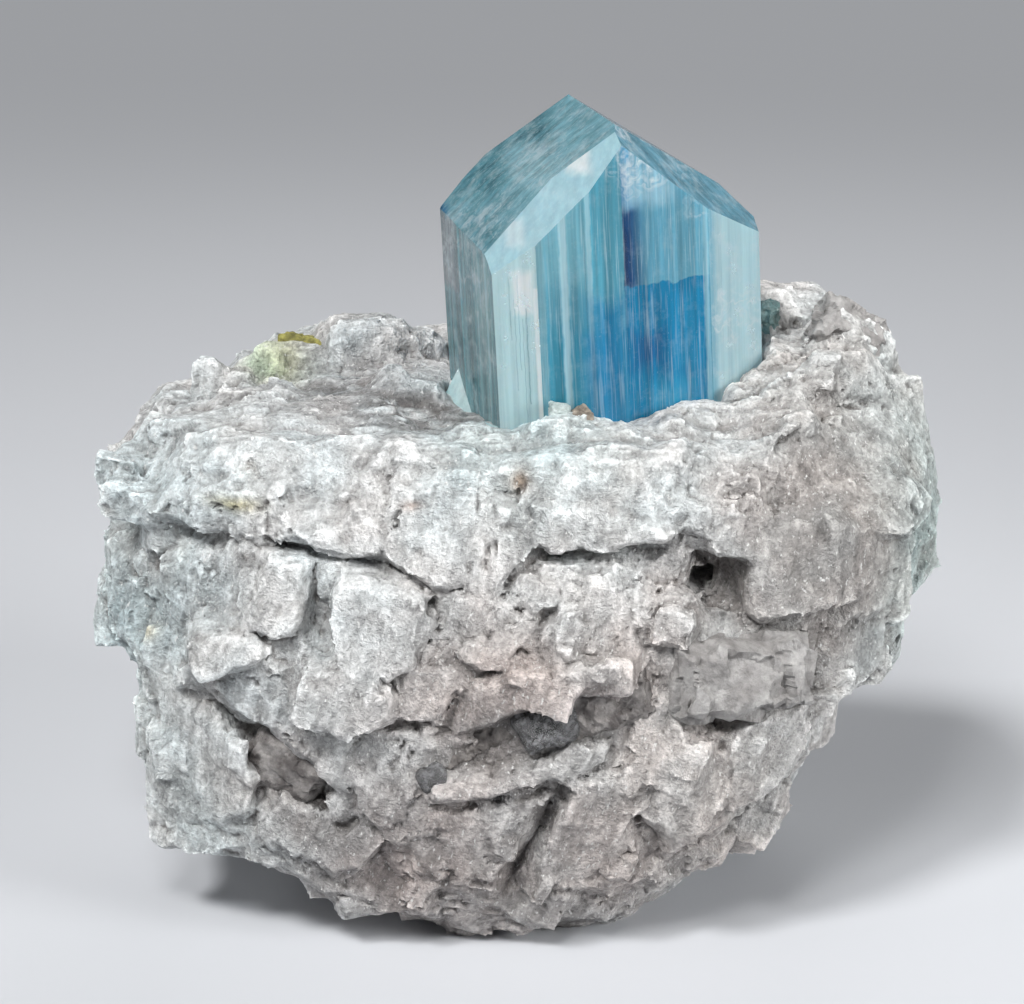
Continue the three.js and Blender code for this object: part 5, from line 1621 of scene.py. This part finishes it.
@dataclass
class Crystal:
    """The large crystal: a striated prism closed by its roof faces."""

    foot: Row = PRISM_FOOT
    lean: float = PRISM_LEAN
    root: float = 4.5
    length: float = 36.0
    edge_mm: float = 0.1
    sharp: float = 3.0  # faces that meet at more than this many degrees stay sharp
    # The prism's corners in plan from the foot, then strips and their depth on the side that follows.
    plan: tuple[Row, ...] = (
        (-5.0, 14.4, 16, 0.05), (0.0, 0.0, 7, 0.05), (4.2, -0.7, 24, 0.05), (9.4, -0.4, 8, 0.03),
        (12.4, 0.6, 30, 0.05), (20.7, 4.4, 14, 0.03), (25.9, 9.2, 12, 0.04), (24.4, 18.5, 14, 0.05),
        (13.0, 24.0, 16, 0.05), (0.0, 21.5, 12, 0.05),
    )
    # The roof's faces: normal, a point of the face and its looks.
    roofs: tuple[tuple[Row, Row, Face], ...] = (
        ((-0.60, -0.30, 0.74), (5.5, 5.5, 80.35), Face.ROOF_LEFT),
        ((-0.67, -0.36, 0.65), (-7.2, 5.0, 69.2), Face.ROOF_LEFT),
        ((-0.50, -0.68, 0.54), (-1.85, -9.5, 65.3), Face.BAND),
        ((0.66, -0.31, 0.685), (18.0, -5.1, 71.3), Face.ROOF_RIGHT),
        ((0.50, 0.066, 0.863), (5.5, 5.5, 80.35), Face.ROOF_RIGHT),
        ((-0.315, 0.75, 0.60), (5.5, 5.5, 80.35), Face.BACK),
        ((-0.75, 0.60, 0.45), (-7.2, 5.0, 69.2), Face.BACK),
        ((0.43, 0.675, 0.60), (5.5, 5.5, 80.35), Face.BACK),
        ((0.57, 0.50, 0.65), (18.3, 1.9, 73.3), Face.BACK),
    )
    # The looks of each side of the prism, in the plan's order.
    side_faces: tuple[Face, ...] = (Face.LEFT, Face.STRIP, Face.FRONT, Face.FRONT, Face.FRONT, Face.RIGHT,
                                    Face.BACK, Face.BACK, Face.BACK, Face.BACK)
    # Small crystals grown onto the foot, by their corners.
    fragments: tuple[tuple[Row, ...], ...] = (
        ((-5.0, 2.4, 54.3), (-7.7, 0.6, 49.4), (-7.2, 4.8, 49.4), (-3.6, -1.8, 49.4), (-3.6, 4.0, 49.4),
         (-4.0, 1.0, 52.6), (-7.7, 0.6, 47.4), (-7.2, 4.8, 47.4), (-3.6, -1.8, 47.4), (-3.6, 4.0, 47.4)),
        ((-2.6, -7.4, 50.6), (-3.6, -8.4, 48.0), (-1.6, -10.4, 48.0), (-0.6, -9.4, 50.4), (-1.0, -8.0, 48.0)),
        ((0.2, -10.6, 49.6), (1.6, -11.3, 48.9), (3.2, -11.2, 49.2), (2.4, -9.8, 50.2), (0.4, -9.6, 47.6),
         (3.4, -9.8, 47.6)),
    )

    def outline(self) -> list[Vector]:
        """The prism's plan with its striations, counter-clockwise, in millimetres from the foot.

        Returns:
            The plan's points.
        """
        rng = np.random.default_rng(41)
        rows = []
        for index, (x, y, strips, depth) in enumerate(self.plan):
            start = Vector((x, y, 0.0))
            side = Vector((*self.plan[(index + 1) % len(self.plan)][:2], 0.0)) - start
            inward = Vector((-side.y, side.x, 0.0)).normalized()
            cuts = np.sort(rng.uniform(0.02, 0.98, int(strips)))
            rows.append(start)
            rows.extend(start + side * cut + inward * depth * rng.uniform(0.1, 1.0) for cut in cuts)
        return rows

    def prism(self, rows: list[Vector], low: float, high: float) -> bmesh.types.BMesh:
        """A closed upright prism on an outline, leaned and set on its foot.

        Args:
            rows: the outline from the foot, in millimetres.
            low: where it starts along the long axis.
            high: where it ends.

        Returns:
            The prism.
        """
        bm = bmesh.new()
        ring = [bm.verts.new((row.x, row.y, low)) for row in rows]
        base = bm.faces.new(ring)
        grown = bmesh.ops.extrude_face_region(bm, geom=[base])
        top = [part for part in grown["geom"] if isinstance(part, bmesh.types.BMVert)]
        bmesh.ops.translate(bm, verts=top, vec=(0.0, 0.0, high - low))
        turn = Matrix.Rotation(math.radians(-self.lean), 4, "Y")
        bmesh.ops.transform(bm, matrix=Matrix.Translation(self.foot) @ turn, verts=bm.verts[:])
        bmesh.ops.recalc_face_normals(bm, faces=bm.faces[:])
        return bm

    def sides(self) -> list[tuple[Vector, Vector]]:
        """A point and the outward normal of each side of the prism.

        Returns:
            For each side of the plan, in its order, the point and the normal.
        """
        turn = Matrix.Rotation(math.radians(-self.lean), 3, "Y")
        corners = [Vector((x, y, 0.0)) for x, y, _, _ in self.plan]
        rows = []
        for start, end in zip(corners, corners[1:] + corners[:1]):
            along = end - start
            outward = Vector((along.y, -along.x, 0.0)).normalized()
            rows.append((turn @ start + Vector(self.foot), turn @ outward))
        return rows

    def cut(self, bm: bmesh.types.BMesh, through: Row, normal: Row) -> None:
        """Cuts away what lies beyond a plane and closes the cut.

        Args:
            bm: the solid.
            through: a point of the plane.
            normal: the way out of the solid.
        """
        parts = bm.verts[:] + bm.edges[:] + bm.faces[:]
        bmesh.ops.bisect_plane(bm, geom=parts, dist=1e-4, plane_co=through, plane_no=normal,
                               clear_outer=True)
        rim = [edge for edge in bm.edges if edge.is_boundary]
        if rim:
            bmesh.ops.holes_fill(bm, edges=rim)

    def build(self) -> bpy.types.Object:
        """Grows the crystal, hides the CAD crystal and hangs it on the root body.

        Returns:
            The crystal's object.
        """
        bm = self.prism(self.outline(), -self.root, self.length)
        for normal, through, _ in self.roofs:
            self.cut(bm, through, normal)
        bmesh.ops.remove_doubles(bm, verts=bm.verts[:], dist=0.002)
        creases = [edge for edge in bm.edges
                   if edge.is_manifold and edge.calc_face_angle(0.0) > math.radians(12)]
        bmesh.ops.bevel(bm, geom=creases, offset=self.edge_mm, offset_type="OFFSET", segments=2,
                        profile=0.5, affect="EDGES", material=-1, clamp_overlap=True)
        for face in bm.faces:
            face.material_index = self.kind_of(face).value
        for corners in self.fragments:
            self.grow(bm, corners)
        bmesh.ops.triangulate(bm, faces=[face for face in bm.faces if len(face.verts) > 4])
        bmesh.ops.translate(bm, verts=bm.verts[:], vec=SHIFT)
        bmesh.ops.scale(bm, verts=bm.verts[:], vec=(MM, MM, MM))
        mesh = finished(bm, "blue_crystal")
        crystal = in_scene("blue_crystal", mesh)
        shade(mesh, self.sharp)
        for kind in Face:
            mesh.materials.append(FINISHES[kind].material())
        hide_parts("euclase_crystal")
        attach(crystal, "root")
        return crystal

    def grow(self, bm: bmesh.types.BMesh, corners: tuple[Row, ...]) -> None:
        """Grows a small sharp-cornered crystal onto the large one.

        Args:
            bm: the large crystal.
            corners: the small one's corners.
        """
        verts = [bm.verts.new(corner) for corner in corners]
        hull = bmesh.ops.convex_hull(bm, input=verts)
        faces = [part for part in hull["geom"] if isinstance(part, bmesh.types.BMFace)]
        spare = {part for part in hull["geom_interior"] + hull["geom_unused"] if part.is_valid}
        loose = [part for part in spare if isinstance(part, bmesh.types.BMVert)]
        bmesh.ops.delete(bm, geom=loose, context="VERTS")
        bmesh.ops.recalc_face_normals(bm, faces=faces)
        for face in faces:
            face.material_index = Face.STRIP.value if face.normal.z > 0.3 else Face.LEFT.value

    def kind_of(self, face: bmesh.types.BMFace) -> Face:
        """The looks of a face, from the roof face or the side that it lies nearest to.

        Args:
            face: a face of the crystal.

        Returns:
            Its looks.
        """
        middle = face.calc_center_median()
        planes = [(Vector(normal).normalized(), Vector(through), kind)
                  for normal, through, kind in self.roofs]
        planes += [(normal, through, kind)
                   for (through, normal), kind in zip(self.sides(), self.side_faces)]
        return min(planes, key=lambda plane: abs(plane[0].dot(middle - plane[1]))
                   + 2.0 * (1.0 - max(0.0, plane[0].dot(face.normal))))[2]


@dataclass
class Grain:
    """A small mineral piece, broken from its CAD solid."""

    node: str
    name: str
    slot: str
    finish: StoneFinish
    voxel_mm: float = 0.16
    facet_mm: float = 1.2
    sunk: Row = (0.0, 0.65, 0.0)  # how far behind the piece the rock that holds it lies
    swell_mm: float = 0.35  # how far the piece grows into the rock round it
    triangles: int = 9000
    sharp: float = 30.0  # faces that meet at more than this many degrees stay sharp

    def build(self) -> bpy.types.Object:
        """Carves the piece, hides its CAD solid and hangs it on the root body.

        Returns:
            The piece's object.
        """
        piece = in_scene(self.name, joined_copy(self.name, [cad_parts[self.node].data]))
        remeshed(piece, self.voxel_mm)
        carving = Carving(piece.data)
        carving.points += self.swell_mm * carving.normals
        carving.write()
        size = self.facet_mm
        carving.warp(size * 2.4, size * 0.4, 301)
        carving.cleave((size, size * 0.7, size), size * 0.4, size * 0.16, 0.4, 311)
        carving.settle(1, 0.3)
        thinned(piece, self.triangles)
        shade(piece.data, self.sharp)
        piece.data.materials.clear()
        piece.data.materials.append(self.finish.material())
        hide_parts(self.node)
        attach(piece, "root")
        return piece


# Smoky quartz breaks in curved, glassy faces: dark, with paler clouds inside.
GREY_QUARTZ = StoneFinish("smoky quartz, broken", 0x827D79, 0x443F3D, 1.6, (0.2, 0.5))
# The same with less smoke, so that it looks like grey glass.
PALE_QUARTZ = StoneFinish("pale quartz, broken", 0x96928F, 0x56514F, 1.6, (0.2, 0.5))
# Milky quartz: even, pale and faintly greasy.
CLEAR_QUARTZ = StoneFinish("milky quartz, broken", 0xA3A19F, 0x7E7B79, 3.0, (0.25, 0.5))
# Beryl grown in the pocket: smooth faces, a breath of green.
GREEN_BERYL = StoneFinish("pale beryl, grown", 0xBCC6C4, 0x98A6A4, 1.2, (0.2, 0.4))
# A weathered grain: tan and dull.
TAN_GRAIN = StoneFinish("tan grain, broken", 0xA09688, 0x6E665C, 0.7, (0.5, 0.8))
# Ore with bright cleavage: black, with small faces that flash.
BLACK_ORE = StoneFinish("black ore, bright cleavage", 0x6E6E70, 0x070707, 0.5, (0.05, 0.25), 0.08, 2.4, 0.2)
# A powdery crust: mustard yellow, without any gloss.
YELLOW_CRUST = StoneFinish("yellow crust, powdery", 0xA9A45A, 0x6E6A38, 0.9, (0.7, 0.95))
# Euclase too thin for much colour: pale green, half clear.
THIN_EUCLASE = StoneFinish("euclase, thin rear crystal", 0xC4E0DC, 0x9CC4C4, 1.4, (0.08, 0.2), ior=1.65,
                           transmission=0.5)

# How the pieces that stand on the rock are set into it.
DOWN = (0.0, 0.0, -0.9)
GRAINS = (
    Grain("foot_prism", "pale_foot_prism", "beryl", GREEN_BERYL, 0.09, 0.8, DOWN, 0.1),
    Grain("foot_grain", "tan_foot_grain", "tan_grain", TAN_GRAIN, 0.09, 0.7, DOWN, 0.1),
    Grain("quartz_seam_left", "dark_quartz_seam", "grey_quartz", GREY_QUARTZ, swell_mm=0.2),
    Grain("quartz_seam_right", "pale_quartz_seam", "grey_quartz", PALE_QUARTZ, swell_mm=0.2),
    Grain("ore_grain", "black_ore_grain", "black_ore", BLACK_ORE, 0.12, 0.7, swell_mm=0.8),
    Grain("ore_speck", "black_ore_speck", "black_ore", BLACK_ORE, 0.09, 0.6, swell_mm=0.5),
    Grain("smoky_quartz_left", "smoky_quartz_patch", "grey_quartz", PALE_QUARTZ),
    Grain("quartz_block", "translucent_quartz_block", "clear_quartz", CLEAR_QUARTZ, 0.2, 4.0),
    Grain("quartz_plate", "glassy_quartz_plate", "clear_quartz", CLEAR_QUARTZ, 0.18, 2.4, DOWN),
    Grain("quartz_point", "dark_quartz_point", "grey_quartz", GREY_QUARTZ, 0.12, 1.4, DOWN),
    Grain("yellow_crust", "yellow_crust_patch", "yellow_crust", YELLOW_CRUST, 0.16, 0.8, DOWN, 0.2),
    Grain("euclase_rear_crystal", "thin_rear_crystal", "euclase", THIN_EUCLASE, 0.12, 1.4, DOWN, 0.1),
)


# ------------------------------------------------------------------------------ floor, lights, camera


def hang(light: bpy.types.Light, at: Vector, way: Vector) -> None:
    """Puts a lamp in the scene.

    Args:
        light: the lamp's light.
        at: where it hangs.
        way: which way it shines.
    """
    lamp = bpy.data.objects.new(light.name, light)
    lamp.location = at
    lamp.rotation_euler = way.to_track_quat("-Z", "Y").to_euler()
    bpy.context.scene.collection.objects.link(lamp)


@dataclass
class Softbox:
    """A large soft lamp."""

    at: Row
    size: float
    power: float
    spread: float = 180.0

    def build(self, target: Vector) -> None:
        """Hangs the lamp and points it.

        Args:
            target: where it points.
        """
        light = bpy.data.lights.new("softbox", "AREA")
        light.shape = "SQUARE"
        light.size = self.size
        light.energy = self.power
        light.spread = math.radians(self.spread)
        hang(light, Vector(self.at), target - Vector(self.at))


@dataclass
class Skylight:
    """A broad, far and even light, as of a large window."""

    towards: Row
    strength: float
    spread: float

    def build(self, target: Vector) -> None:
        """Sets the light.

        Args:
            target: what it lights; a far light needs only its direction.
        """
        light = bpy.data.lights.new("skylight", "SUN")
        light.energy = self.strength
        light.angle = math.radians(self.spread)
        hang(light, target + Vector(self.towards), -Vector(self.towards))


@dataclass
class Studio:
    """A pale floor, soft light and the camera."""

    elevation: float = 16.0
    lens_mm: float = 85.0
    distance_mm: float = 241.8
    target: Row = (0.0, 0.0, 40.5)
    lit: Row = (9.0, -5.0, 64.0)
    floor_side: float = 12.0
    paper: int = 0xC6C8CC
    room: int = 0xDDE2EA
    room_strength: float = 0.06
    lamps: tuple[Softbox | Skylight, ...] = (
        Skylight((-0.38, -0.46, 0.80), 2.2, 12.0),
        Softbox((-0.04, -0.20, 0.24), 0.07, 0.06, 60.0),
        Softbox((-0.42, -0.10, 0.22), 0.20, 0.4),
        Softbox((0.34, -0.20, 0.17), 0.14, 0.17, 60.0),
        Softbox((0.05, 0.26, 0.40), 0.30, 0.5),
    )

    def build(self) -> None:
        """Lays the floor, hangs the lamps and sets the camera."""
        bm = bmesh.new()
        bmesh.ops.create_grid(bm, x_segments=1, y_segments=1, size=self.floor_side / 2)
        mesh = finished(bm, "floor")
        floor = in_scene("floor", mesh)
        # Matt paper: pale, with no gloss.
        material = blank_material("floor, matt paper")
        tree = material.node_tree
        shader = add(tree, "BsdfPrincipled", {"Base Color": paint(self.paper), "Roughness": 0.9})
        add(tree, "OutputMaterial", {"Surface": shader.outputs[0]})
        mesh.materials.append(material)
        for lamp in self.lamps:
            lamp.build(place(*self.lit))
        world = bpy.data.worlds.new("soft room")
        world.use_nodes = True
        background = world.node_tree.nodes["Background"]
        background.inputs["Color"].default_value = paint(self.room)
        background.inputs["Strength"].default_value = self.room_strength
        bpy.context.scene.world = world
        bpy.context.scene.view_settings.view_transform = "Standard"
        self.camera(place(*self.target))

    def camera(self, middle: Vector) -> None:
        """Sets the camera.

        Args:
            middle: where it looks.
        """
        lens = bpy.data.cameras.new("camera")
        lens.lens = self.lens_mm
        lens.sensor_width = 36.0
        lens.clip_start = 0.01
        lens.clip_end = 50.0
        camera = bpy.data.objects.new("camera", lens)
        tilt = math.radians(self.elevation)
        back = Vector((0.0, -math.cos(tilt), math.sin(tilt)))
        camera.location = middle + back * self.distance_mm * MM
        camera.rotation_euler = Euler((math.pi / 2 - tilt, 0.0, 0.0))
        bpy.context.scene.collection.objects.link(camera)
        bpy.context.scene.camera = camera


def main() -> None:
    """Builds every piece in order and reports each."""
    logging.basicConfig(level=logging.INFO, format="%(message)s")
    Studio().build()
    LOG.info("studio: floor, lamps and camera")
    for maker in (Rock(), Crystal(), *GRAINS):
        piece = maker.build()
        LOG.info("%s: %d faces", piece.name, len(piece.data.polygons))


if __name__ == "__main__":
    main()
